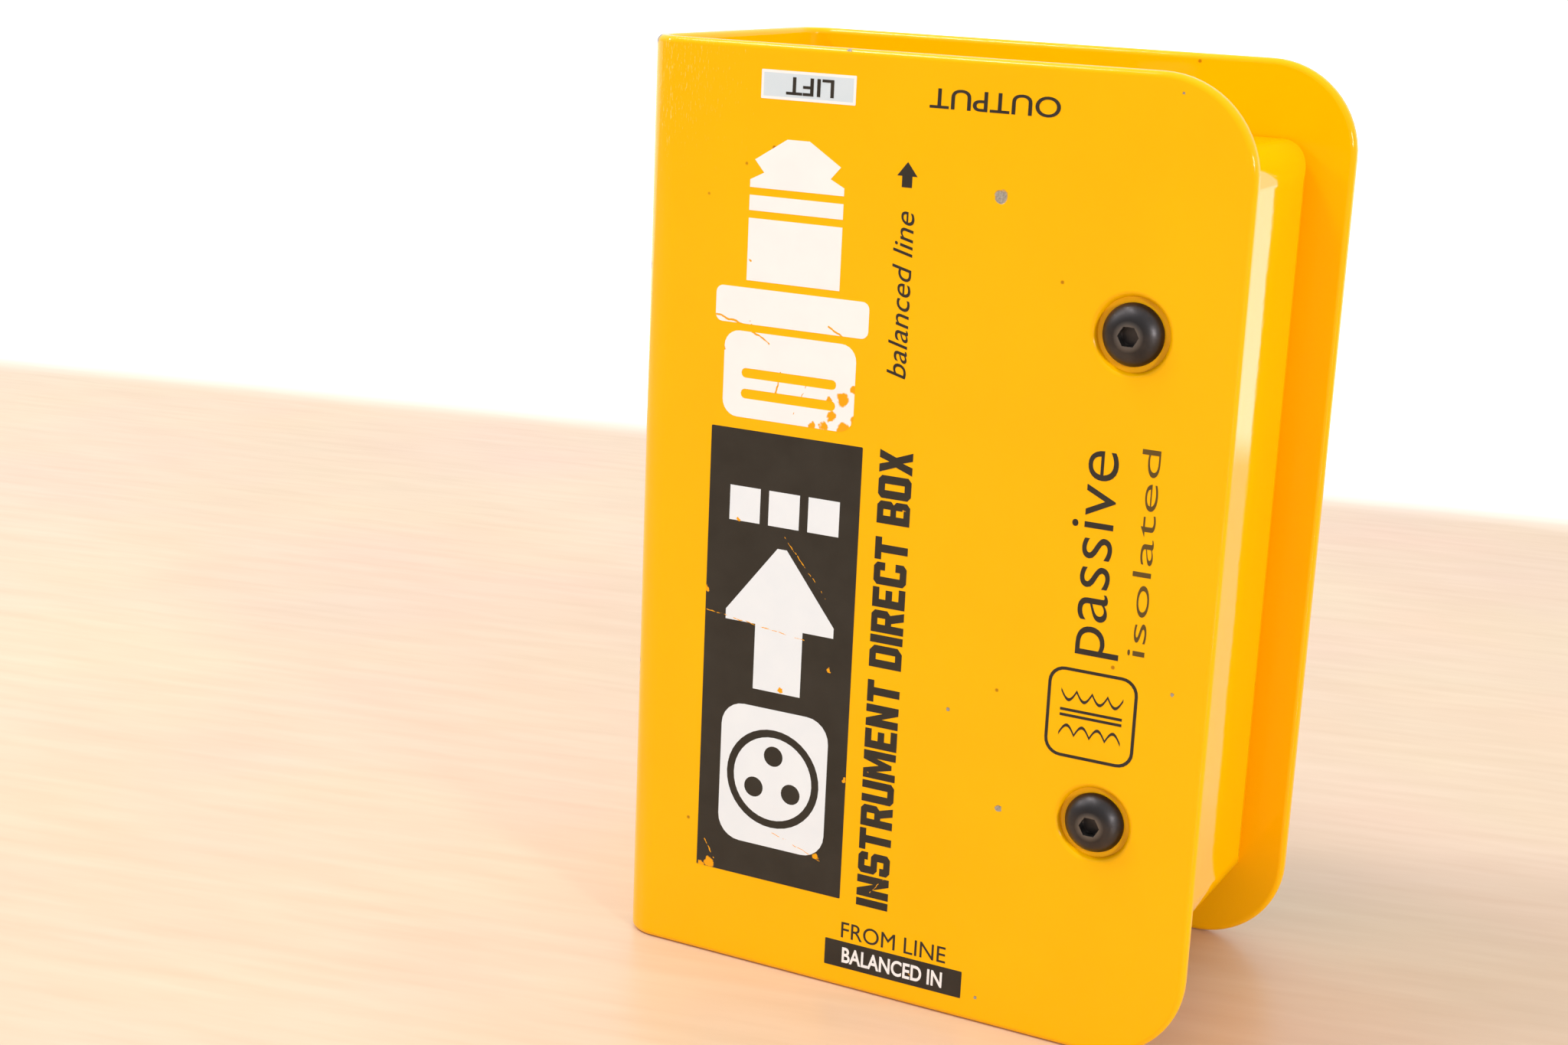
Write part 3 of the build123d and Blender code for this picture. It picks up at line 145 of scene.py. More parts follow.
tree.links.new(faded.outputs[2], shader.inputs["Base Color"])
glow = add_node(tree, "ShaderNodeMath", {"operation": "MULTIPLY"}, {0: fade, 1: FADE_GLOW})
tree.links.new(glow.outputs[0], shader.inputs["Emission Strength"])
shader.inputs["Emission Color"].default_value = linear("#FFFFFF")
shader.inputs["Roughness"].default_value = 0.34

bpy.ops.mesh.primitive_plane_add(size=FLOOR_SIZE, location=(0, 0, 0))
floor = bpy.context.object
floor.name = "floor"
floor.data.materials.append(table_finish)

world = bpy.data.worlds.new("white_room")
world.use_nodes = True
background = world.node_tree.nodes["Background"]
facing = add_node(world.node_tree, "ShaderNodeTexCoord").outputs["Generated"]
behind = add_node(world.node_tree, "ShaderNodeVectorMath", {"operation": "DOT_PRODUCT"},
                  {0: facing, 1: ROOM_BRIGHT_WAY}).outputs["Value"]
brightness = add_node(world.node_tree, "ShaderNodeMapRange", {"interpolation_type": "SMOOTHSTEP"}, {
    "Value": behind, "From Min": -ROOM_BLEND, "From Max": ROOM_BLEND,
    "To Min": ROOM_IN_FRONT, "To Max": ROOM_BEHIND,
})
world.node_tree.links.new(brightness.outputs["Result"], background.inputs["Strength"])
background.inputs["Color"].default_value = linear("#FFFFFF")
scene.world = world


def softbox(name, width, height, place, watts):
    """A rectangular softbox that faces the middle of the box."""
    bpy.ops.object.light_add(type="AREA", location=place)
    lamp = bpy.context.object
    lamp.name = name
    lamp.data.shape = "RECTANGLE"
    lamp.data.size = width
    lamp.data.size_y = height
    lamp.data.energy = watts
    aim = SOFTBOX_AIM - Vector(place)
    lamp.rotation_euler = aim.to_track_quat("-Z", "Y").to_euler()


softbox("softbox_right", 0.12, 0.18, (0.92, -0.55, 0.29), 4.6)
softbox("softbox_left", 0.12, 0.18, (-0.83, -0.33, 0.69), 2.8)
softbox("softbox_above", 0.4, 0.14, (-0.47, -0.3, 1.09), 5.4)

# ---- outer shell ----
# Folded 14 gauge steel with a polyester powder coat, sprayed dry and fused in an oven. The coat is
# thick and glossy with a faint orange peel, it rounds every edge, and knocks chip it to grey steel.
shell_low, shell_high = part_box("outer_shell")
PEEL_PITCH = 1.4
PEEL_HEIGHT = 0.004
SHEET_WAVE_PITCH = 16.0
TINT_PITCH = 18
DUST_PITCH = 5.0
DUST_SHARE = 0.25
SPECK_RADIUS = 0.07
CHIP_DEPTH = 0.1
CHIP_RAGGED = 0.35
CHIP_RAGGED_PITCH = 0.7
# Where the lighter scuffs gather: rubbed wear near the top-left corner, painted lighter as a painted sheen.
SCUFF_SHEEN_CORNER = (4.0, 0.0, 122.0)
SCUFF_SHEEN_FULL = 5.0
SCUFF_SHEEN_REACH = 24.0
SHELL_CHIPS = (
    (51.8, 0.0, 110.4, 0.95),
    (57.0, 0.0, 31.0, 0.5),
    (0.9, 2.1, 96.5, 0.8),
    (0.9, 2.1, 40.5, 0.32),
    (1.0, 2.0, 38.6, 0.25),
    (1.0, 2.0, 126.7, 0.9),
    (79.0, 0.2, 51.0, 0.35),
    (78.0, 0.2, 49.0, 0.25),
    (55.5, 0.0, 3.6, 0.25),
    (49.0, 0.0, 43.2, 0.3),
    (30.0, 0.4, 126.8, 0.35),
    (74.0, 0.3, 124.6, 0.3),
    (61.0, 45.6, 88.0, 0.4),
    (66.0, 45.6, 60.0, 0.3),
    (40.0, 47.6, 0.6, 0.6),
    (0.8, 46.8, 70.0, 0.5),
    (0.0, 24.0, 90.0, 0.8),
    (0.0, 33.0, 22.0, 0.5),
)


def place_in_mm(tree):
    """Object coordinates in millimetres from the shell's spine, front plate and standing end."""
    place = add_node(tree, "ShaderNodeTexCoord").outputs["Object"]
    return add_node(tree, "ShaderNodeMapping", inputs={
        "Vector": place, "Location": -shell_low / MM, "Scale": (1 / MM, 1 / MM, 1 / MM),
    }).outputs["Vector"]


def ragged(tree, place, reach, pitch):
    """The place, pushed about by up to reach in patches of the given pitch, so that edges turn ragged."""
    noise = add_node(tree, "ShaderNodeTexNoise",
                     inputs={"Vector": place, "Scale": 1 / pitch, "Detail": 3.0}).outputs["Color"]
    push = add_node(tree, "ShaderNodeVectorMath", {"operation": "MULTIPLY_ADD"},
                    {0: noise, 1: (2 * reach,) * 3, 2: (-reach,) * 3}).outputs["Vector"]
    return add_node(tree, "ShaderNodeVectorMath", {"operation": "ADD"}, {0: place, 1: push}).outputs["Vector"]


def most(tree, masks):
    """The greatest of the masks."""
    whole = masks[0]
    for mask in masks[1:]:
        whole = add_node(tree, "ShaderNodeMath", {"operation": "MAXIMUM"}, {0: whole, 1: mask}).outputs[0]
    return whole


def spots(tree, place, rounds):
    """1 inside any of the rounds, each given as (x, y, z, radius), and 0 outside them."""
    masks = []
    for x, y, z, radius in rounds:
        reach = add_node(tree, "ShaderNodeVectorMath", {"operation": "DISTANCE"},
                         {0: place, 1: (x, y, z)}).outputs["Value"]
        masks.append(add_node(tree, "ShaderNodeMapRange", inputs={
            "Value": reach, "From Min": radius, "From Max": 0.8 * radius,
        }).outputs["Result"])
    return most(tree, masks)


def scratches(tree, place, lines):
    """1 on any of the lines, each given as (start, end, width), and 0 off them."""
    masks = []
    for start, end, width in lines:
        run = Vector(end) - Vector(start)
        past = add_node(tree, "ShaderNodeVectorMath", {"operation": "SUBTRACT"}, {0: place, 1: start})
        share = add_node(tree, "ShaderNodeVectorMath", {"operation": "DOT_PRODUCT"},
                         {0: past.outputs["Vector"], 1: run / run.length_squared}).outputs["Value"]
        held = add_node(tree, "ShaderNodeMath", {"operation": "ADD", "use_clamp": True}, {0: share, 1: 0.0})
        nearest = add_node(tree, "ShaderNodeVectorMath", {"operation": "SCALE"},
                           {0: run, "Scale": held.outputs[0]}).outputs["Vector"]
        reach = add_node(tree, "ShaderNodeVectorMath", {"operation": "DISTANCE"},
                         {0: past.outputs["Vector"], 1: nearest}).outputs["Value"]
        masks.append(add_node(tree, "ShaderNodeMapRange", inputs={
            "Value": reach, "From Min": width / 2, "From Max": width / 3,
        }).outputs["Result"])
    return most(tree, masks)


def specks(tree, place, pitch, share):
    """1 on scattered specks about pitch apart, and 0 between them. Share is how few cells have one."""
    cells = add_node(tree, "ShaderNodeTexVoronoi", {"feature": "F1"}, {"Vector": place, "Scale": 1 / pitch})
    near = add_node(tree, "ShaderNodeMapRange", inputs={
        "Value": cells.outputs["Distance"], "From Min": SPECK_RADIUS, "From Max": SPECK_RADIUS / 2,
    }).outputs["Result"]
    chosen = add_node(tree, "ShaderNodeSeparateColor", inputs={0: cells.outputs["Color"]}).outputs[0]
    kept = add_node(tree, "ShaderNodeMath", {"operation": "LESS_THAN"}, {0: chosen, 1: share}).outputs[0]
    return add_node(tree, "ShaderNodeMath", {"operation": "MULTIPLY"}, {0: near, 1: kept}).outputs[0]


def powder_coat(name, rounds, wave_height, dull, mirror):
    """Glossy powder coat. Rounds are its chips, wave_height is the slow waviness of the sheet, dull is
    its roughness and mirror how strongly it reflects."""
    material, tree, shader = new_material(name)
    place = place_in_mm(tree)
    cloud = add_node(tree, "ShaderNodeTexNoise",
                     inputs={"Vector": place, "Scale": 1 / TINT_PITCH, "Detail": 4.0}).outputs["Fac"]
    coat = add_node(tree, "ShaderNodeMix", {"data_type": "RGBA"},
                    {0: cloud, 6: linear("#FFB700"), 7: linear("#FFC000")}).outputs[2]
    dust = specks(tree, place, DUST_PITCH, DUST_SHARE)
    coat = add_node(tree, "ShaderNodeMix", {"data_type": "RGBA"},
                    {0: dust, 6: coat, 7: linear("#B9770A")}).outputs[2]
    # Scuffs near the top-left corner: rubbed wear that is made rougher, and painted lighter, which is a
    # painted sheen of the rubbed streaks.
    scuff_sheen_place = add_node(tree, "ShaderNodeMapping", inputs={"Vector": place, "Scale": (0.9, 0.9, 0.16)})
    scuff_sheen_noise = add_node(tree, "ShaderNodeTexNoise", inputs={
        "Vector": scuff_sheen_place.outputs["Vector"], "Detail": 6.0, "Roughness": 0.7}).outputs["Fac"]
    corner = add_node(tree, "ShaderNodeVectorMath", {"operation": "DISTANCE"},
                      {0: place, 1: SCUFF_SHEEN_CORNER}).outputs["Value"]
    near = add_node(tree, "ShaderNodeMapRange", inputs={
        "Value": corner, "From Min": SCUFF_SHEEN_FULL, "From Max": SCUFF_SHEEN_REACH, "To Min": 0.16, "To Max": 0.0,
    }).outputs["Result"]
    raised = add_node(tree, "ShaderNodeMath", {"operation": "ADD"}, {0: scuff_sheen_noise, 1: near}).outputs[0]
    scuffed_with_sheen = add_node(tree, "ShaderNodeMapRange", inputs={
        "Value": raised, "From Min": 0.72, "From Max": 0.86,
    }).outputs["Result"]
    coat = add_node(tree, "ShaderNodeMix", {"data_type": "RGBA"},
                    {0: scuffed_with_sheen, 6: coat, 7: linear("#FFD36B")}).outputs[2]
    bare = spots(tree, ragged(tree, place, CHIP_RAGGED, CHIP_RAGGED_PITCH), rounds)
    grit = add_node(tree, "ShaderNodeTexNoise",
                    inputs={"Vector": place, "Scale": 4.0, "Detail": 5.0}).outputs["Fac"]
    steel = add_node(tree, "ShaderNodeMix", {"data_type": "RGBA"},
                     {0: grit, 6: linear("#30271D"), 7: linear("#D9D0C2")}).outputs[2]
    colour = add_node(tree, "ShaderNodeMix", {"data_type": "RGBA"},
                      {0: bare, 6: coat, 7: steel}).outputs[2]
    tree.links.new(colour, shader.inputs["Base Color"])
    gloss = add_node(tree, "ShaderNodeMapRange", inputs={
        "Value": cloud, "From Min": 0.3, "From Max": 0.7, "To Min": 0.75 * dull, "To Max": 1.4 * dull,
    }).outputs["Result"]
    gloss = add_node(tree, "ShaderNodeMath", {"operation": "MULTIPLY_ADD"},
                     {0: scuffed_with_sheen, 1: 0.25, 2: gloss}).outputs[0]
    rough = add_node(tree, "ShaderNodeMath", {"operation": "MULTIPLY_ADD"}, {0: bare, 1: 0.4, 2: gloss})
    tree.links.new(rough.outputs[0], shader.inputs["Roughness"])
    peel = add_node(tree, "ShaderNodeTexNoise",
                    inputs={"Vector": place, "Scale": 1 / PEEL_PITCH, "Detail": 2.0}).outputs["Fac"]
    wave = add_node(tree, "ShaderNodeTexNoise",
                    inputs={"Vector": place, "Scale": 1 / SHEET_WAVE_PITCH, "Detail": 1.0}).outputs["Fac"]
    lift = add_node(tree, "ShaderNodeMath", {"operation": "MULTIPLY"}, {0: wave, 1: wave_height})
    lift = add_node(tree, "ShaderNodeMath", {"operation": "MULTIPLY_ADD"},
                    {0: peel, 1: PEEL_HEIGHT, 2: lift.outputs[0]})
    lift = add_node(tree, "ShaderNodeMath", {"operation": "MULTIPLY_ADD"},
                    {0: bare, 1: -CHIP_DEPTH, 2: lift.outputs[0]})
    bump = add_node(tree, "ShaderNodeBump", inputs={"Height": lift.outputs[0], "Distance": MM})
    tree.links.new(bump.outputs["Normal"], shader.inputs["Normal"])
    shader.inputs["Specular IOR Level"].default_value = mirror
    return material


def finish(material, *names):
    """Gives CAD nodes their material."""
    for name in names:
        nodes[name].data.materials.clear()
        nodes[name].data.materials.append(material)


finish(powder_coat("gloss_powder_coat_shell", SHELL_CHIPS, 0.012, 0.07, 0.2), "outer_shell")

# ---- inner tray ----
# The same steel and powder coat, folded into a shallow tray with all its edges turned in. Its narrow
# side wall shows between the shell's plates, and mirrors the room in a long wavering stripe.
TRAY_CHIPS = (
    (75.0, 44.0, 112.0, 0.3),
    (78.4, 20.0, 70.0, 0.25),
    (30.0, 10.0, 10.5, 0.4),
    (66.0, 36.0, 116.5, 0.5),
)
finish(powder_coat("gloss_powder_coat_tray", TRAY_CHIPS, 0.05, 0.04, 0.5), "inner_tray")

# ---- panel print ----
# Screen printed ink on the powder coat: a black panel with white signs in it, a white plug above it,
# and block capitals beside it. Each colour is a skin of ink a few hundredths of a millimetre thick.
INK = 0.012
PANEL_LOW = (12.3, 13.0)
PANEL_HIGH = (34.8, 76.3)
READING = {
    "level": (Vector((1, 0, 0)), Vector((0, 0, 1))),
    "up": (Vector((0, 0, 1)), Vector((-1, 0, 0))),
    "upside_down": (Vector((-1, 0, 0)), Vector((0, 0, -1))),
}
INK_SCRATCHES = (
    ((12.5, 0, 91.4), (16.5, 0, 90.4), 0.35),
    ((16.5, 0, 90.4), (20.4, 0, 88.2), 0.3),
    ((12.5, 0, 50.5), (27.5, 0, 48.6), 0.16),
    ((24.0, 0, 62.5), (30.5, 0, 55.0), 0.12),
    ((21.5, 0, 81.0), (22.3, 0, 84.6), 0.3),
    ((24.3, 0, 79.2), (26.2, 0, 83.4), 0.12),
    ((13.8, 0, 101.5), (17.2, 0, 98.8), 0.3),
    ((14.2, 0, 102.8), (15.0, 0, 100.6), 0.2),
    ((29.0, 0, 91.5), (31.5, 0, 90.2), 0.3),
    ((13.5, 0, 17.0), (15.0, 0, 14.5), 0.2),
    ((44.6, 0, 5.4), (46.4, 0, 4.2), 0.12),
    ((38.6, 0, 14.0), (41.3, 0, 17.5), 0.12),
    ((24.0, 0, 20.3), (31.5, 0, 17.8), 0.12),
)
INK_CHIPS = (
    (14.3, 0, 13.6, 0.8), (13.0, 0, 13.2, 0.6), (30.8, 0, 18.3, 0.5), (12.4, 0, 53.4, 0.4),
    (31.9, 0, 78.2, 1.1), (30.0, 0, 79.8, 0.8), (33.4, 0, 79.6, 0.7), (29.0, 0, 78.4, 0.7),
    (31.6, 0, 82.2, 1.0), (33.2, 0, 83.6, 0.7), (29.6, 0, 82.0, 0.5), (13.0, 0, 88.6, 0.8),
    (13.4, 0, 86.9, 0.5), (27.2, 0, 78.1, 0.6), (33.9, 0, 81.4, 0.5), (17.8, 0, 90.1, 0.4),
    (16.9, 0, 63.9, 0.3), (31.4, 0, 45.2, 0.4), (24.3, 0, 41.0, 0.3), (34.6, 0, 30.2, 0.4),
)


def screen_ink(name, dark, light, share):
    """Ink in two close tones, with the yellow coat showing through its chips, specks and scratches."""
    material, tree, shader = new_material(name)
    place = place_in_mm(tree)
    cloud = add_node(tree, "ShaderNodeTexNoise",
                     inputs={"Vector": place, "Scale": 1 / 5, "Detail": 5.0}).outputs["Fac"]
    ink = add_node(tree, "ShaderNodeMix", {"data_type": "RGBA"},
                   {0: cloud, 6: linear(dark), 7: linear(light)}).outputs[2]
    torn = ragged(tree, place, 0.7, 1.1)
    lost = most(tree, [
        spots(tree, torn, INK_CHIPS),
        scratches(tree, ragged(tree, place, 0.35, 1.6), INK_SCRATCHES),
        specks(tree, torn, 3.4, share),
    ])
    colour = add_node(tree, "ShaderNodeMix", {"data_type": "RGBA"},
                      {0: lost, 6: ink, 7: linear("#F7A800")}).outputs[2]
    tree.links.new(colour, shader.inputs["Base Color"])
    rough = add_node(tree, "ShaderNodeMapRange", inputs={
        "Value": cloud, "From Min": 0.3, "From Max": 0.7, "To Min": 0.32, "To Max": 0.5,
    })
    tree.links.new(rough.outputs["Result"], shader.inputs["Roughness"])
    sunk = add_node(tree, "ShaderNodeMath", {"operation": "MULTIPLY_ADD"}, {0: lost, 1: -0.02, 2: cloud})
    bump = add_node(tree, "ShaderNodeBump", inputs={
        "Height": sunk.outputs[0], "Distance": MM, "Strength": 0.03,
    })
    tree.links.new(bump.outputs["Normal"], shader.inputs["Normal"])
    shader.inputs["Specular IOR Level"].default_value = 0.3
    return material


black_ink = screen_ink("black_screen_ink", "#231F1A", "#3A352E", 0.05)
white_ink = screen_ink("white_screen_ink", "#F0F1F2", "#FBFAF9", 0.2)
cool_ink = screen_ink("cool_white_screen_ink", "#E6EDF5", "#F1F6FB", 0.2)
letter_ink = screen_ink("rubbed_black_screen_ink", "#231F1A", "#3A342B", 0.6)


def lay_print(piece, low, high, reading, ink, lift=0):
    """Makes a flat shape a skin of ink that fills the rectangle from low to high on the front plate."""
    bpy.ops.object.select_all(action="DESELECT")
    piece.select_set(True)
    bpy.context.view_layer.objects.active = piece
    bpy.ops.object.convert(target="MESH")
    bpy.ops.object.mode_set(mode="EDIT")
    bpy.ops.mesh.select_all(action="SELECT")
    bpy.ops.mesh.remove_doubles(threshold=1e-5)
    bpy.ops.mesh.normals_make_consistent(inside=False)
    bpy.ops.object.mode_set(mode="OBJECT")
    corners = [Vector(corner) for corner in piece.bound_box]
    least = Vector([min(c[i] for c in corners) for i in range(3)])
    size = Vector([max(c[i] for c in corners) for i in range(3)]) - least
    across, upward = READING[reading]
    span = Vector((high[0] - low[0], 0, high[1] - low[1]))
    middle = shell_low + Vector(((low[0] + high[0]) / 2, 0, (low[1] + high[1]) / 2)) * MM
    outward = Vector((0, -1, 0))
    middle += outward * (INK * (1 + 2 * lift) * MM)
    wide = abs(span.dot(across)) / size.x * MM
    tall = abs(span.dot(upward)) / size.y * MM
    thick = 2 * INK * MM / size.z
    turn = Matrix((across * wide, upward * tall, outward * thick)).transposed().to_4x4()
    piece.matrix_world = Matrix.Translation(middle) @ turn @ Matrix.Translation(-(least + size / 2))
    bpy.ops.object.transform_apply(location=True, rotation=True, scale=True)
    piece.data.materials.clear()
    piece.data.materials.append(ink)
    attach(piece, "housing")


def outline(name, loops):
    """A flat filled shape, with each loop inside another a hole in it."""
    curve = bpy.data.curves.new(name, "CURVE")
    curve.dimensions = "2D"
    curve.fill_mode = "BOTH"
    curve.extrude = 0.5
    for loop in loops:
        spline = curve.splines.new("POLY")
        spline.points.add(len(loop) - 1)
        for point, (x, y) in zip(spline.points, loop):
            point.co = (x, y, 0, 1)
        spline.use_cyclic_u = True
    piece = bpy.data.objects.new(name, curve)
    scene.collection.objects.link(piece)
    return piece


def ring(x, y, radius, steps=40):
    """A circle as a loop of points."""
    turns = [2 * math.pi * i / steps for i in range(steps)]
    return [(x + radius * math.cos(a), y + radius * math.sin(a)) for a in turns]


def slab(x0, y0, x1, y1, corner=0.0, steps=6):
    """A rectangle as a loop of points, with rounded corners if it has any."""
    if corner == 0:
        return [(x0, y0), (x1, y0), (x1, y1), (x0, y1)]
    points = []
    for quarter, (x, y) in enumerate(((x1 - corner, y1 - corner), (x0 + corner, y1 - corner),
                                      (x0 + corner, y0 + corner), (x1 - corner, y0 + corner))):
        for i in range(steps + 1):
            angle = math.pi / 2 * (quarter + i / steps)
            points.append((x + corner * math.cos(angle), y + corner * math.sin(angle)))
    return points


def words(name, text, low, high, reading, ink, bold=0.0, lean=0.0, lift=0):
    """Printed words that fill the rectangle from low to high."""
    bpy.ops.object.text_add()
    piece = bpy.context.object
    piece.name = name
    piece.data.name = name
    piece.data.body = text
    piece.data.extrude = 0.5
    piece.data.offset = bold
    piece.data.shear = lean
    piece.data.resolution_u = 6
    lay_print(piece, low, high, reading, ink, lift)


panel = outline("print_panel", [slab(0, 0, 22.5, 63.3, 0.15, 2)])
lay_print(panel, PANEL_LOW, PANEL_HIGH, "level", black_ink)

# The sign for a three-pin socket: a disc with its three pins, in a frame.
pins = [ring(8.2 + 3.3 * math.cos(a), 10 + 3.3 * math.sin(a), 1.45, 24)
        for a in (math.radians(90), math.radians(210), math.radians(330))]
socket_sign = outline("print_socket_sign", [
    slab(0, 0, 16.4, 20, 3.4), ring(8.2, 10, 7.1), ring(8.2, 10, 6.0), *pins,
])
lay_print(socket_sign, (15.5, 18.0), (31.9, 38.0), "level", cool_ink, 1)

# The sign for the way the signal goes: a broad arrow towards the jack.
arrow = outline("print_arrow", [[(4.6, 0), (11.8, 0), (11.8, 9.2), (16.4, 9.2), (16.4, 10.6), (8.9, 20.2),
                                 (7.5, 20.2), (0, 10.6), (0, 9.2), (4.6, 9.2)]])
lay_print(arrow, (15.5, 40.5), (31.9, 60.7), "level", cool_ink, 1)

# Three blocks that end the row, as on a level meter.
meter = outline("print_meter", [slab(0, 0, 4.6, 4.8), slab(5.9, 0, 10.5, 4.8), slab(11.8, 0, 16.4, 4.8)])
lay_print(meter, (15.5, 63.7), (31.9, 68.5), "level", cool_ink, 1)

# A quarter-inch plug pointing at the jack: its ribbed grip, collar, sleeve, ring and tip.
plug = outline("print_plug", [
    slab(1.5, 0, 20.9, 11.6, 2.2), slab(4.2, 2.6, 18.2, 3.9, 0.6, 3), slab(4.2, 5.4, 18.2, 6.7, 0.6, 3),
    slab(0, 12.6, 22.4, 17.4, 1.0),
    slab(4.4, 18.4, 18.0, 26.6), slab(4.4, 27.6, 18.0, 29.6),
    [(4.4, 30.6), (18.0, 30.6), (18.0, 31.6), (16.0, 32.6), (17.4, 34.2), (12.8, 37.1), (9.6, 37.1),
     (5.0, 34.2), (6.4, 32.6), (4.4, 31.6)],
])
lay_print(plug, (12.3, 77.9), (34.7, 115.0), "level", white_ink)

# Block capitals drawn on a grid of five strokes high, each with its loops and its width.
CAPITALS = {
    "I": (1.0, [slab(0, 0, 1, 5)]),
    "T": (2.8, [[(0.9, 0), (1.9, 0), (1.9, 4), (2.8, 4), (2.8, 5), (0, 5), (0, 4), (0.9, 4)]]),
    "E": (2.5, [[(0, 0), (2.5, 0), (2.5, 1), (1, 1), (1, 2), (2.2, 2), (2.2, 3), (1, 3), (1, 4), (2.5, 4),
                 (2.5, 5), (0, 5)]]),
    "U": (2.8, [[(0, 5), (0, 0.5), (0.5, 0), (2.3, 0), (2.8, 0.5), (2.8, 5), (1.8, 5), (1.8, 1), (1, 1),
                 (1, 5)]]),
    "C": (2.8, [[(2.8, 1.7), (1.8, 1.7), (1.8, 1), (1, 1), (1, 4), (1.8, 4), (1.8, 3.3), (2.8, 3.3),
                 (2.8, 4.5), (2.3, 5), (0.5, 5), (0, 4.5), (0, 0.5), (0.5, 0), (2.3, 0), (2.8, 0.5)]]),
    "O": (2.8, [[(0.5, 0), (2.3, 0), (2.8, 0.5), (2.8, 4.5), (2.3, 5), (0.5, 5), (0, 4.5), (0, 0.5)],
                slab(1, 1, 1.8, 4)]),
    "D": (2.8, [[(0, 0), (2.1, 0), (2.8, 0.7), (2.8, 4.3), (2.1, 5), (0, 5)], slab(1, 1, 1.8, 4)]),
    "B": (2.8, [[(0, 0), (2.3, 0), (2.8, 0.5), (2.8, 2.1), (2.4, 2.5), (2.8, 2.9), (2.8, 4.5),
                 (2.3, 5), (0, 5)], slab(1, 0.95, 1.8, 2.1), slab(1, 2.95, 1.8, 4.05)]),
    "R": (2.85, [[(0, 0), (1, 0), (1, 1.9), (1.3, 1.9), (1.8, 0), (2.85, 0), (2.3, 2.1), (2.8, 2.6),
                  (2.8, 4.5), (2.3, 5), (0, 5)], slab(1, 2.85, 1.8, 4.05)]),
    "S": (2.8, [[(0, 1.6), (0, 0.5), (0.5, 0), (2.3, 0), (2.8, 0.5), (2.8, 2.5), (2.3, 3), (1, 3), (1, 4),
                 (1.8, 4), (1.8, 3.5), (2.8, 3.5), (2.8, 4.5), (2.3, 5), (0.5, 5), (0, 4.5), (0, 2.5),
                 (0.5, 2), (1.8, 2), (1.8, 1), (1, 1), (1, 1.6)]]),
    "N": (2.8, [[(0, 0), (1, 0), (1, 2.6), (1.85, 0), (2.8, 0), (2.8, 5), (1.8, 5), (1.8, 2.4), (0.95, 5),
                 (0, 5)]]),
    "M": (3.6, [[(0, 0), (0.95, 0), (0.95, 3), (1.5, 0.6), (2.1, 0.6), (2.65, 3), (2.65, 0), (3.6, 0),
                 (3.6, 5), (2.4, 5), (1.8, 2.6), (1.2, 5), (0, 5)]]),
    "X": (2.8, [[(0, 0), (1, 0), (1.4, 1.5), (1.8, 0), (2.8, 0), (2, 2.5), (2.8, 5), (1.8, 5), (1.4, 3.5),
                 (1, 5), (0, 5), (0.8, 2.5)]]),
}
LETTER_GAP = 0.33
WORD_GAP = 1.35
loops = []
reach = 0.0
for letter in "INSTRUMENT DIRECT BOX":
    if letter == " ":
        reach += WORD_GAP
        continue
    width, letter_loops = CAPITALS[letter]
    loops += [[(x + reach, y) for x, y in loop] for loop in letter_loops]
    reach += width + LETTER_GAP
lay_print(outline("print_block_capitals", loops), (37.3, 12.8), (42.0, 76.5), "up", letter_ink)

# ---- small print ----
# The names of the switch and the sockets, read with the box on its other end or on this one, and a
# quiet mark for the transformer inside, all in the same inks.
faint_ink = screen_ink("worn_black_screen_ink", "#4A3A1C", "#6E5520", 0.5)
fill_ink = screen_ink("pale_blue_screen_ink", "#CFDDE8", "#DCE7EF", 0.0)
label = outline("print_lift_border", [slab(0, 0, 13.5, 3.7, 0.1, 2), slab(0.35, 0.35, 13.15, 3.35)])
lay_print(label, (17.8, 120.0), (31.3, 123.7), "level", white_ink)
label = outline("print_lift_fill", [slab(0, 0, 12.8, 3.0)])
lay_print(label, (18.15, 120.35), (30.95, 123.35), "level", fill_ink)
words("print_lift", "LIFT", (21.4, 120.7), (28.2, 122.95), "upside_down", black_ink, 0.012, 0, 1)
words("print_output", "OUTPUT", (41.5, 120.5), (58.8, 123.0), "upside_down", black_ink, 0.006)
box = outline("print_input_box", [slab(0, 0, 20.45, 3.85, 0.1, 2)])
lay_print(box, (32.95, 3.0), (53.4, 6.85), "level", black_ink)
words("print_input", "BALANCED IN", (35.6, 3.75), (50.6, 6.05), "level", white_ink, 0.022, 0, 1)
words("print_from", "FROM LINE", (35.3, 7.4), (50.9, 9.75), "level", black_ink)
words("print_line_end", "balanced line", (37.6, 86.0), (40.3, 107.4), "up", black_ink, 0.0, 0.25)
sign = outline("print_line_sign", [
    [(0, 0), (1.6, 0), (1.6, -1.2), (3.6, 1.2), (1.6, 3.6), (1.6, 2.4), (0, 2.4)],
])
lay_print(sign, (37.6, 110.4), (40.4, 113.6), "up", black_ink)
words("print_passive", "passive", (64.2, 54.0), (71.6, 80.5), "up", black_ink, -0.006)
words("print_isolated", "isolated", (72.6, 55.0), (75.0, 81.5), "up", faint_ink, -0.008)


def winding(x, lean):
    """Half-round turns of a winding as a ribbon: a loop down one side and back up the other."""
    steps, turns, length, bulge = 60, 4, 9, 1.35
    inner, outer = [], []
    for i in range(steps + 1):
        y = length * i / steps
        swell = abs(math.sin(math.pi * turns * i / steps))
        inner.append((x + lean * (bulge * swell - 0.12), y))
        outer.append((x + lean * (bulge * swell + 0.32), y))
    return inner + outer[::-1]


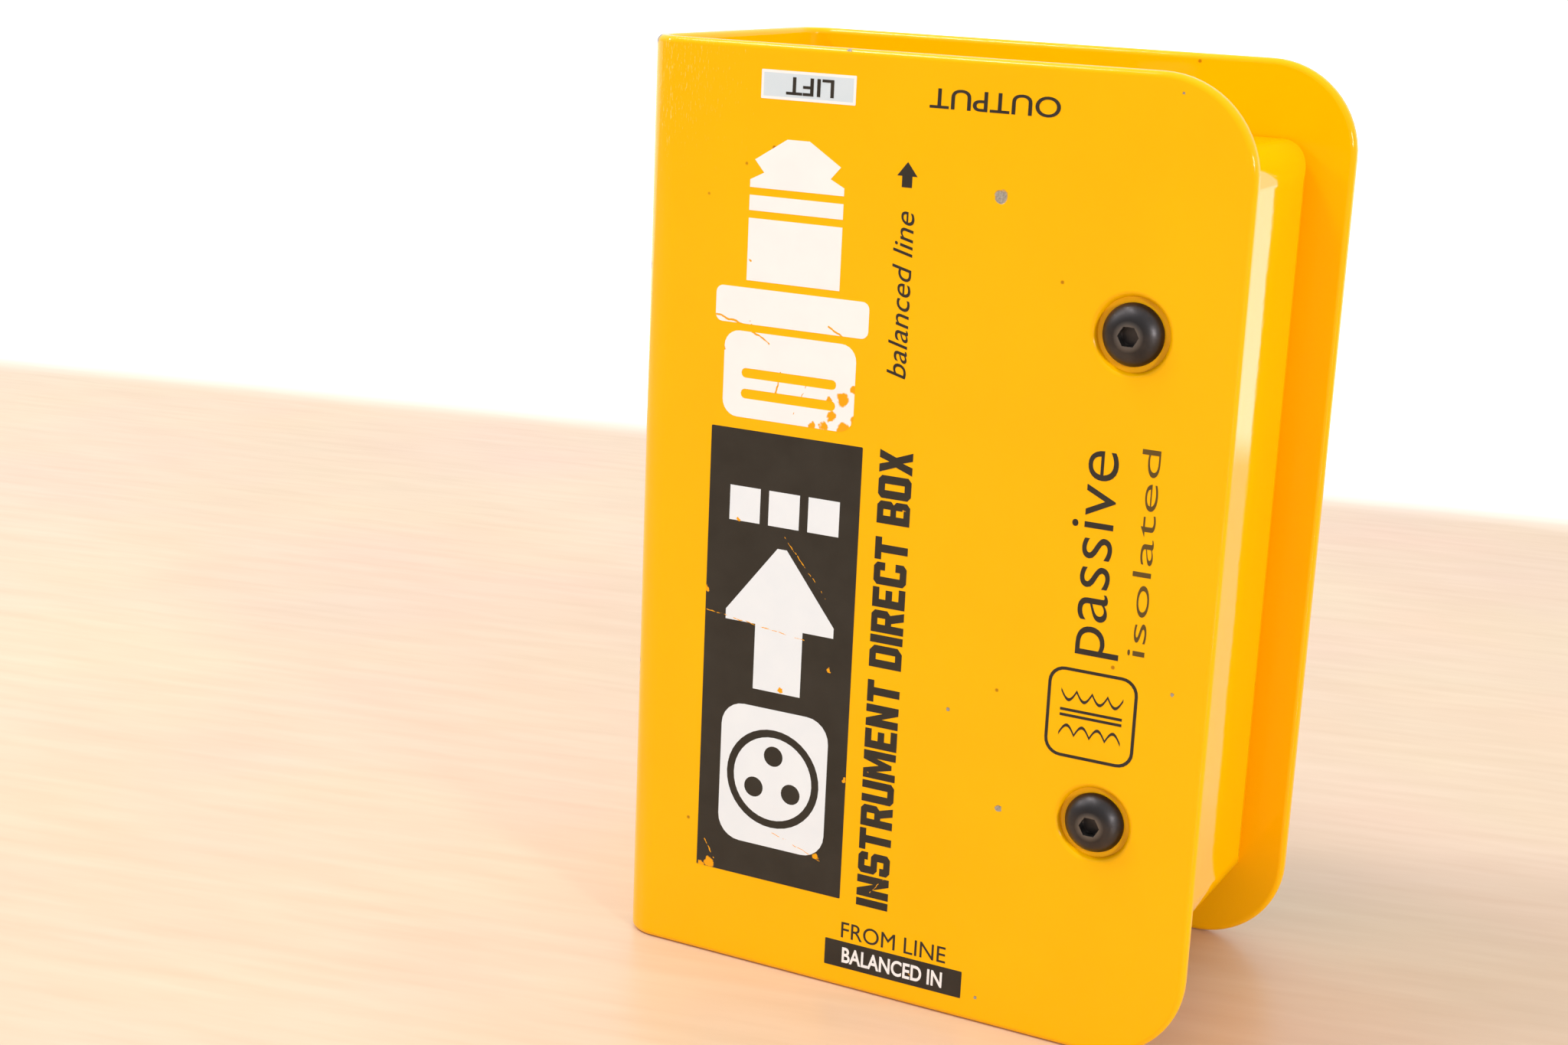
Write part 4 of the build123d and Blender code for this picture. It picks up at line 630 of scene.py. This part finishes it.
sign = outline("print_transformer_sign", [
    slab(0, 0, 13, 13, 2.4), slab(0.45, 0.45, 12.55, 12.55, 2.0),
    [(x, y + 2) for x, y in winding(3.2, 1)], [(x, y + 2) for x, y in winding(9.8, -1)],
    slab(5.9, 2, 6.3, 11), slab(6.7, 2, 7.1, 11),
])
lay_print(sign, (62.6, 40.0), (74.6, 52.0), "up", black_ink)

# ---- cover screws ----
# Button head screws in black oxide over alloy steel, sunk in spotfaces. The oxide is a thin dark film
# with a dull sheen. The key has polished the mouth of each hexagon back to bare steel, and that lighter
# ring is also a painted highlight of the bright rim round the socket.
COVER_SCREW_X = 70.0
COVER_SCREW_Z = (31.75, 95.25)
MOUTH_RADII = (1.25, 2.0)
KEY_RADII = (1.15, 1.3)


def round_screws(tree, place, centres, near, far):
    """1 close to the axes of the screws, which run along Y, falling to 0 from near to far."""
    flat = add_node(tree, "ShaderNodeVectorMath", {"operation": "MULTIPLY"}, {0: place, 1: (1, 0, 1)})
    masks = []
    for x, z in centres:
        reach = add_node(tree, "ShaderNodeVectorMath", {"operation": "DISTANCE"},
                         {0: flat.outputs["Vector"], 1: (x, 0, z)}).outputs["Value"]
        masks.append(add_node(tree, "ShaderNodeMapRange", inputs={
            "Value": reach, "From Min": far, "From Max": near,
        }).outputs["Result"])
    return most(tree, masks)


def metal_finish(name, dark, light, roughness, grain, height):
    """A metal in two close tones, grain millimetres apart, with its tool marks or its cast skin."""
    material, tree, shader = new_material(name)
    place = place_in_mm(tree)
    cloud = add_node(tree, "ShaderNodeTexNoise",
                     inputs={"Vector": place, "Scale": 1 / grain, "Detail": 6.0}).outputs["Fac"]
    spread = add_node(tree, "ShaderNodeMapRange", inputs={
        "Value": cloud, "From Min": 0.3, "From Max": 0.7,
    }).outputs["Result"]
    tone = add_node(tree, "ShaderNodeMix", {"data_type": "RGBA"},
                    {0: spread, 6: linear(dark), 7: linear(light)}).outputs[2]
    tree.links.new(tone, shader.inputs["Base Color"])
    rough = add_node(tree, "ShaderNodeMapRange", inputs={
        "Value": spread, "To Min": roughness * 1.3, "To Max": roughness * 0.75,
    })
    tree.links.new(rough.outputs["Result"], shader.inputs["Roughness"])
    bump = add_node(tree, "ShaderNodeBump", inputs={"Height": cloud, "Distance": height * MM})
    tree.links.new(bump.outputs["Normal"], shader.inputs["Normal"])
    shader.inputs["Metallic"].default_value = 1.0
    return material, tree, shader, place, tone


screw_black, tree, shader, place, tone = metal_finish(
    "black_oxide_steel", "#3B393A", "#4B4849", 0.4, 3.0, 0.01)
centres = [(COVER_SCREW_X, z) for z in COVER_SCREW_Z]
mouth = round_screws(tree, place, centres, *MOUTH_RADII)
key = round_screws(tree, place, centres, *KEY_RADII)
# A lighter ring round each socket: bare steel rubbed by the key, and a painted highlight of the socket's rim.
rubbed_ring_and_glint = add_node(tree, "ShaderNodeMath", {"operation": "SUBTRACT", "use_clamp": True}, {0: mouth, 1: key})
tone = add_node(tree, "ShaderNodeMix", {"data_type": "RGBA"},
                {0: rubbed_ring_and_glint.outputs[0], 6: tone, 7: linear("#777371")}).outputs[2]
tree.links.new(tone, shader.inputs["Base Color"])
finish(screw_black, "front_cover_screws", "rear_cover_screws", "xlr_screws")

# ---- clinch nuts, board screws and earth screw ----
# Zinc plated steel, passivated clear: bright and slightly blue, with a fine crystalline bloom.
zinc = metal_finish("clear_zinc_plate", "#A9ADB2", "#CDD1D4", 0.3, 1.5, 0.01)[0]
finish(zinc, "clinch_nuts", "board_screws", "board_standoffs", "earth_screw", "earth_nut",
       "earth_washer", "xlr_screw_nuts")

# ---- no-slip pad ----
# Closed-cell neoprene sponge die cut from a 2 mm sheet and stuck all over the rear plate. Its skin has
# a fine leathery pebble, it clears the cover screws, and a box laid down on it doesn't slide.
pad_low, pad_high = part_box("no_slip_pad")
PAD_CORNER = 10.0
PAD_HOLE = 6.5
PAD_DENT = 0.12
PAD_DENTS = 26
PAD_DENT_RADII = (4, 11)
PAD_VOXEL = 0.5
PEBBLE_PITCH = 0.9
PEBBLE_DEPTH = 0.12


def pad_outline():
    """The pad's outline with its two holes, as loops in millimetres from the spine and the foot."""
    low = (pad_low - shell_low) / MM
    high = (pad_high - shell_low) / MM
    holes = [ring(COVER_SCREW_X, z, PAD_HOLE, 64) for z in COVER_SCREW_Z]
    return [slab(low.x, low.z, high.x, high.z, PAD_CORNER, 16)] + holes


bpy.ops.object.select_all(action="DESELECT")
pad = outline("sponge_pad", pad_outline())
pad.data.extrude = 0.5
pad.select_set(True)
bpy.context.view_layer.objects.active = pad
bpy.ops.object.convert(target="MESH")
thick = pad_high.y - pad_low.y
pad.matrix_world = Matrix((
    (MM, 0, 0, shell_low.x),
    (0, 0, -thick, (pad_low.y + pad_high.y) / 2),
    (0, MM, 0, shell_low.z),
    (0, 0, 0, 1),
))
bpy.ops.object.transform_apply(location=True, rotation=True, scale=True)
bpy.ops.object.modifier_add(type="REMESH")
pad.modifiers["Remesh"].mode = "VOXEL"
pad.modifiers["Remesh"].voxel_size = PAD_VOXEL * MM
bpy.ops.object.modifier_apply(modifier="Remesh")
bpy.ops.object.modifier_add(type="SMOOTH")
pad.modifiers["Smooth"].factor = 0.5
pad.modifiers["Smooth"].iterations = 3
bpy.ops.object.modifier_apply(modifier="Smooth")
random.seed(7)
dents = [(Vector((random.uniform(pad_low.x, pad_high.x), 0, random.uniform(pad_low.z, pad_high.z))),
          random.uniform(*PAD_DENT_RADII) * MM, random.uniform(0.3, 1.0) * PAD_DENT * MM)
         for _ in range(PAD_DENTS)]
for vertex in pad.data.vertices:
    share = (vertex.co.y - pad_low.y) / thick
    if share > 0.5:
        flat = Vector((vertex.co.x, 0, vertex.co.z))
        sink = sum(depth * max(0, 1 - (flat - spot).length / radius) ** 2 for spot, radius, depth in dents)
        vertex.co.y -= sink
bpy.ops.object.select_all(action="DESELECT")
pad.select_set(True)
bpy.context.view_layer.objects.active = pad
bpy.ops.object.mode_set(mode="EDIT")
bpy.ops.mesh.select_all(action="SELECT")
bpy.ops.mesh.normals_make_consistent(inside=False)
bpy.ops.object.mode_set(mode="OBJECT")
bpy.ops.object.shade_smooth()

sponge, tree, shader = new_material("neoprene_sponge")
place = place_in_mm(tree)
pebble = add_node(tree, "ShaderNodeTexVoronoi", {"feature": "SMOOTH_F1"},
                  {"Vector": place, "Scale": 1 / PEBBLE_PITCH})
dusty = add_node(tree, "ShaderNodeTexNoise", inputs={"Vector": place, "Scale": 1 / 12, "Detail": 6.0})
spread = add_node(tree, "ShaderNodeMapRange", inputs={
    "Value": dusty.outputs["Fac"], "From Min": 0.35, "From Max": 0.7,
})
tone = add_node(tree, "ShaderNodeMix", {"data_type": "RGBA"},
                {0: spread.outputs["Result"], 6: linear("#222120"), 7: linear("#353332")}).outputs[2]
lint = specks(tree, place, 2.2, 0.06)
colour = add_node(tree, "ShaderNodeMix", {"data_type": "RGBA"},
                  {0: lint, 6: tone, 7: linear("#8C8780")}).outputs[2]
tree.links.new(colour, shader.inputs["Base Color"])
shader.inputs["Roughness"].default_value = 0.78
shader.inputs["Sheen Weight"].default_value = 0.15
shader.inputs["Sheen Roughness"].default_value = 0.5
bump = add_node(tree, "ShaderNodeBump", inputs={
    "Height": pebble.outputs["Distance"], "Distance": PEBBLE_DEPTH * MM, "Strength": 0.8,
})
tree.links.new(bump.outputs["Normal"], shader.inputs["Normal"])
pad.data.materials.clear()
pad.data.materials.append(sponge)
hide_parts("no_slip_pad")
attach(pad, "housing")

# ---- socket ----
# A three-hole panel socket: a zinc casting in satin black chrome, an insert of black glass filled
# nylon, turned contacts plated with silver, and a push tab of bright nickel over a sprung hook.
casting = metal_finish("black_chromed_zinc_casting", "#2B2A2B", "#434143", 0.42, 0.5, 0.05)[0]
finish(casting, "xlr_shell")


def moulded_plastic(name, dark, light, roughness, grain, height):
    """A moulding in two close tones with a fine spark-eroded skin, grain millimetres apart."""
    material, tree, shader = new_material(name)
    place = place_in_mm(tree)
    cloud = add_node(tree, "ShaderNodeTexNoise",
                     inputs={"Vector": place, "Scale": 1 / 4, "Detail": 5.0}).outputs["Fac"]
    skin = add_node(tree, "ShaderNodeTexNoise",
                    inputs={"Vector": place, "Scale": 1 / grain, "Detail": 3.0}).outputs["Fac"]
    spread = add_node(tree, "ShaderNodeMapRange", inputs={
        "Value": cloud, "From Min": 0.3, "From Max": 0.7,
    }).outputs["Result"]
    colour = add_node(tree, "ShaderNodeMix", {"data_type": "RGBA"},
                      {0: spread, 6: linear(dark), 7: linear(light)}).outputs[2]
    tree.links.new(colour, shader.inputs["Base Color"])
    rough = add_node(tree, "ShaderNodeMapRange", inputs={
        "Value": spread, "To Min": roughness * 0.9, "To Max": roughness * 1.2,
    })
    tree.links.new(rough.outputs["Result"], shader.inputs["Roughness"])
    bump = add_node(tree, "ShaderNodeBump", inputs={"Height": skin, "Distance": height * MM})
    tree.links.new(bump.outputs["Normal"], shader.inputs["Normal"])
    return material


nylon = moulded_plastic("black_glass_filled_nylon", "#1B1B1C", "#2B2B2C", 0.48, 0.35, 0.03)
finish(nylon, "xlr_insert", "xlr_rear_insert", "jack_housing", "jack_lid", "lift_switch_body", "lead_header")
silver = metal_finish("silver_plate", "#C9C4B8", "#E9E6DF", 0.2, 0.9, 0.004)[0]
finish(silver, "xlr_contacts")
nickel = metal_finish("bright_nickel_plate", "#B9B4A9", "#D6D2C8", 0.16, 1.2, 0.004)[0]
finish(nickel, "xlr_push_tab")
spring_steel = metal_finish("bright_spring_steel", "#9A9A9B", "#C2C2C4", 0.24, 0.6, 0.004)[0]
finish(spring_steel, "xlr_latch_hook", "xlr_latch_pin", "xlr_latch_spring")

# ---- jack ----
# A quarter-inch panel jack: a nickel plated brass bush, nut and washer, and phosphor bronze springs
# with tinned tails.
finish(nickel, "jack_bushing", "jack_nut", "jack_washer")
bronze = metal_finish("phosphor_bronze", "#B9793F", "#D79A5C", 0.28, 1.1, 0.006)[0]
finish(bronze, "jack_tip_spring", "lift_contact_bridge")
tin = metal_finish("bright_tin_plate", "#B4B6B8", "#D5D7D8", 0.33, 0.8, 0.008)[0]
finish(tin, "jack_tip_terminal", "jack_sleeve_terminal", "lift_switch_pins", "transformer_pins",
       "header_pins", "earth_tag")

# ---- lift switch ----
# A latching push switch: a button of glossy black styrene on an acetal stem, over a coil of music wire.
button_black = moulded_plastic("gloss_black_styrene", "#141414", "#222223", 0.22, 0.8, 0.006)
finish(button_black, "lift_button")
acetal = moulded_plastic("natural_acetal", "#E4E1D8", "#F0EEE7", 0.36, 0.5, 0.01)
finish(acetal, "lift_plunger")
spring_low, spring_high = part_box("lift_spring")
WIRE_RADIUS = 0.15
SPRING_TURNS = 7
SPRING_SIDES = 10
SPRING_STEPS = 26
centre = (spring_low + spring_high) / 2
coil_radius = (spring_high.x - spring_low.x) / 2 - WIRE_RADIUS * MM
bpy.ops.object.select_all(action="DESELECT")
bpy.ops.mesh.primitive_circle_add(
    vertices=SPRING_SIDES, radius=WIRE_RADIUS * MM, rotation=(math.pi / 2, 0, 0),
    location=(coil_radius, 0, spring_low.z + WIRE_RADIUS * MM))
coil = bpy.context.object
coil.name = "lift_spring_coil"
bpy.ops.object.transform_apply(location=True, rotation=True, scale=True)
bpy.ops.object.modifier_add(type="SCREW")
screw = coil.modifiers["Screw"]
screw.axis = "Z"
screw.screw_offset = (spring_high.z - spring_low.z - 2 * WIRE_RADIUS * MM) / SPRING_TURNS
screw.iterations = SPRING_TURNS
screw.steps = screw.render_steps = SPRING_STEPS
screw.use_merge_vertices = True
screw.merge_threshold = 1e-6
bpy.ops.object.modifier_apply(modifier="Screw")
bpy.ops.object.mode_set(mode="EDIT")
bpy.ops.mesh.select_all(action="SELECT")
bpy.ops.mesh.remove_doubles(threshold=1e-6)
bpy.ops.mesh.fill_holes(sides=SPRING_SIDES)
bpy.ops.mesh.select_all(action="SELECT")
bpy.ops.mesh.normals_make_consistent(inside=False)
bpy.ops.object.mode_set(mode="OBJECT")
coil.location = (centre.x, centre.y, 0)
bpy.ops.object.transform_apply(location=True, rotation=True, scale=True)
bpy.ops.object.shade_smooth_by_angle(angle=math.radians(40))
coil.data.materials.clear()
coil.data.materials.append(spring_steel)
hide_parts("lift_spring")
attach(coil, "housing")
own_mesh(coil)

# ---- circuit board ----
# Glass epoxy with a green solder mask, which dips over the gaps between its copper tracks. The mask is
# glossy, and darker where there is no copper under it.
TRACK_PITCH = 3.2
MASK_DEPTH = 0.04
board_green, tree, shader = new_material("green_solder_mask")
place = place_in_mm(tree)
flat = add_node(tree, "ShaderNodeMapping", inputs={"Vector": place, "Rotation": (math.pi / 2, 0, 0)})
tracks = add_node(tree, "ShaderNodeTexBrick", {"offset": 0.35, "squash": 0.6}, {
    "Vector": flat.outputs["Vector"], "Scale": 1 / TRACK_PITCH, "Mortar Size": 0.09, "Mortar Smooth": 0.2,
    "Brick Width": 2.6, "Row Height": 0.9,
})
colour = add_node(tree, "ShaderNodeMix", {"data_type": "RGBA"},
                  {0: tracks.outputs["Fac"], 6: linear("#1E6B3C"), 7: linear("#124A29")}).outputs[2]
tree.links.new(colour, shader.inputs["Base Color"])
shader.inputs["Roughness"].default_value = 0.24
bump = add_node(tree, "ShaderNodeBump", {"invert": True},
                {"Height": tracks.outputs["Fac"], "Distance": MASK_DEPTH * MM})
tree.links.new(bump.outputs["Normal"], shader.inputs["Normal"])
finish(board_green, "circuit_board")

# ---- isolating transformer ----
# Nickel-iron laminations in a nylon bobbin wound with enamelled copper, inside a drawn can of mu-metal
# that was annealed to a soft grey. The stack shows its 0.35 mm laminations, the winding its wires.
LAMINATION = 0.35
WIRE_PITCH = 0.3
WAVE_BAND = 0.314  # how wide a band of the wave texture is at scale 1
mu_metal = metal_finish("annealed_mu_metal", "#84827E", "#A5A29C", 0.42, 2.2, 0.02)[0]
finish(mu_metal, "transformer_can")


def striped_metal(name, between, crest, roughness, pitch, direction):
    """A metal laid in even stripes, such as laminations or the turns of a winding. The between tone is the
    dark joint of a lamination stack, and for round wires it is painted shade in the grooves between them.
    """
    material, tree, shader = new_material(name)
    place = place_in_mm(tree)
    stripes = add_node(tree, "ShaderNodeTexWave", {"bands_direction": direction, "wave_profile": "SIN"}, {
        "Vector": place, "Scale": WAVE_BAND / pitch, "Distortion": 0.2,
    }).outputs["Fac"]
    colour = add_node(tree, "ShaderNodeMix", {"data_type": "RGBA"},
                      {0: stripes, 6: linear(between), 7: linear(crest)}).outputs[2]
    tree.links.new(colour, shader.inputs["Base Color"])
    bump = add_node(tree, "ShaderNodeBump", inputs={"Height": stripes, "Distance": 0.3 * pitch * MM})
    tree.links.new(bump.outputs["Normal"], shader.inputs["Normal"])
    shader.inputs["Metallic"].default_value = 1.0
    shader.inputs["Roughness"].default_value = roughness
    return material


laminations = striped_metal("nickel_iron_laminations", "#3A3936", "#8E8B85", 0.4, LAMINATION, "Y")
finish(laminations, "transformer_core")
# The dark stripes between the turns are painted shade in the grooves between the wires.
copper = striped_metal("enamelled_copper_wire", "#5E2C12", "#C4713A", 0.25, WIRE_PITCH, "Z")
finish(copper, "transformer_winding")
bobbin = moulded_plastic("natural_nylon", "#D9D2BE", "#E8E3D2", 0.42, 0.6, 0.01)
finish(bobbin, "transformer_bobbin")

# ---- resistors and capacitors ----
# Metal film resistors dipped in blue lacquer, with painted bands for their value and tinned wires,
# and film capacitors cast in dull red epoxy.
RESISTOR_XS = (16.5, 57.0)
BODY_HALF = 3.25
BANDS = ((0.0, "#3F7FA6"), (0.14, "#7A3E1C"), (0.22, "#3F7FA6"), (0.34, "#151515"), (0.42, "#3F7FA6"),
         (0.54, "#B23A2A"), (0.62, "#3F7FA6"), (0.8, "#6A2F18"), (0.88, "#3F7FA6"))
lacquer, tree, shader = new_material("blue_resistor_lacquer")
place = place_in_mm(tree)
along = add_node(tree, "ShaderNodeSeparateXYZ", inputs={0: place}).outputs["X"]
second = add_node(tree, "ShaderNodeMath", {"operation": "GREATER_THAN"},
                  {0: along, 1: sum(RESISTOR_XS) / 2}).outputs[0]
middle = add_node(tree, "ShaderNodeMath", {"operation": "MULTIPLY_ADD"},
                  {0: second, 1: RESISTOR_XS[1] - RESISTOR_XS[0], 2: RESISTOR_XS[0]}).outputs[0]
offset = add_node(tree, "ShaderNodeMath", {"operation": "SUBTRACT"}, {0: along, 1: middle}).outputs[0]
share = add_node(tree, "ShaderNodeMapRange", inputs={
    "Value": offset, "From Min": -BODY_HALF, "From Max": BODY_HALF,
}).outputs["Result"]
paint = add_node(tree, "ShaderNodeValToRGB", inputs={0: share})
paint.color_ramp.interpolation = "CONSTANT"
for position, colour in BANDS[1:]:
    paint.color_ramp.elements.new(position).color = linear(colour)
paint.color_ramp.elements[0].color = linear(BANDS[0][1])
paint.color_ramp.elements[-1].color = linear(BANDS[0][1])
away = add_node(tree, "ShaderNodeMath", {"operation": "ABSOLUTE"}, {0: offset}).outputs[0]
wire = add_node(tree, "ShaderNodeMath", {"operation": "GREATER_THAN"}, {0: away, 1: BODY_HALF}).outputs[0]
colour = add_node(tree, "ShaderNodeMix", {"data_type": "RGBA"},
                  {0: wire, 6: paint.outputs["Color"], 7: linear("#C9CBCC")}).outputs[2]
tree.links.new(colour, shader.inputs["Base Color"])
tree.links.new(wire, shader.inputs["Metallic"])
shader.inputs["Roughness"].default_value = 0.28
finish(lacquer, "resistors")
epoxy = moulded_plastic("red_epoxy_casting", "#8E2B20", "#A83A2A", 0.4, 0.8, 0.03)
finish(epoxy, "film_capacitors")

# ---- leads ----
# Stranded hook-up wire in soft PVC, white and blue for the signal and green for the earth, with the
# socket's screen taken through a bare tinned braid. They were cut, stripped and soldered by hand.


def soft_pvc(name, dark, light):
    """Extruded PVC: satin and a little waxy."""
    material = moulded_plastic(name, dark, light, 0.36, 1.6, 0.02)
    shader = material.node_tree.nodes["Principled BSDF"]
    shader.inputs["Subsurface Weight"].default_value = 0.05
    shader.inputs["Subsurface Scale"].default_value = 0.3 * MM
    return material


finish(soft_pvc("white_soft_pvc", "#D8D6D0", "#EBE9E4"), "hot_lead")
finish(soft_pvc("blue_soft_pvc", "#1F4F8F", "#2F66AB"), "cold_lead")
finish(soft_pvc("green_soft_pvc", "#2E6B2C", "#41863B"), "earth_lead")
BRAID_PITCH = 0.5
# The dark stripes are painted shade in the gaps between the braid's strands.
braid = striped_metal("tinned_copper_braid", "#6B6D6F", "#D2D4D5", 0.35, BRAID_PITCH, "DIAGONAL")
finish(braid, "screen_lead")
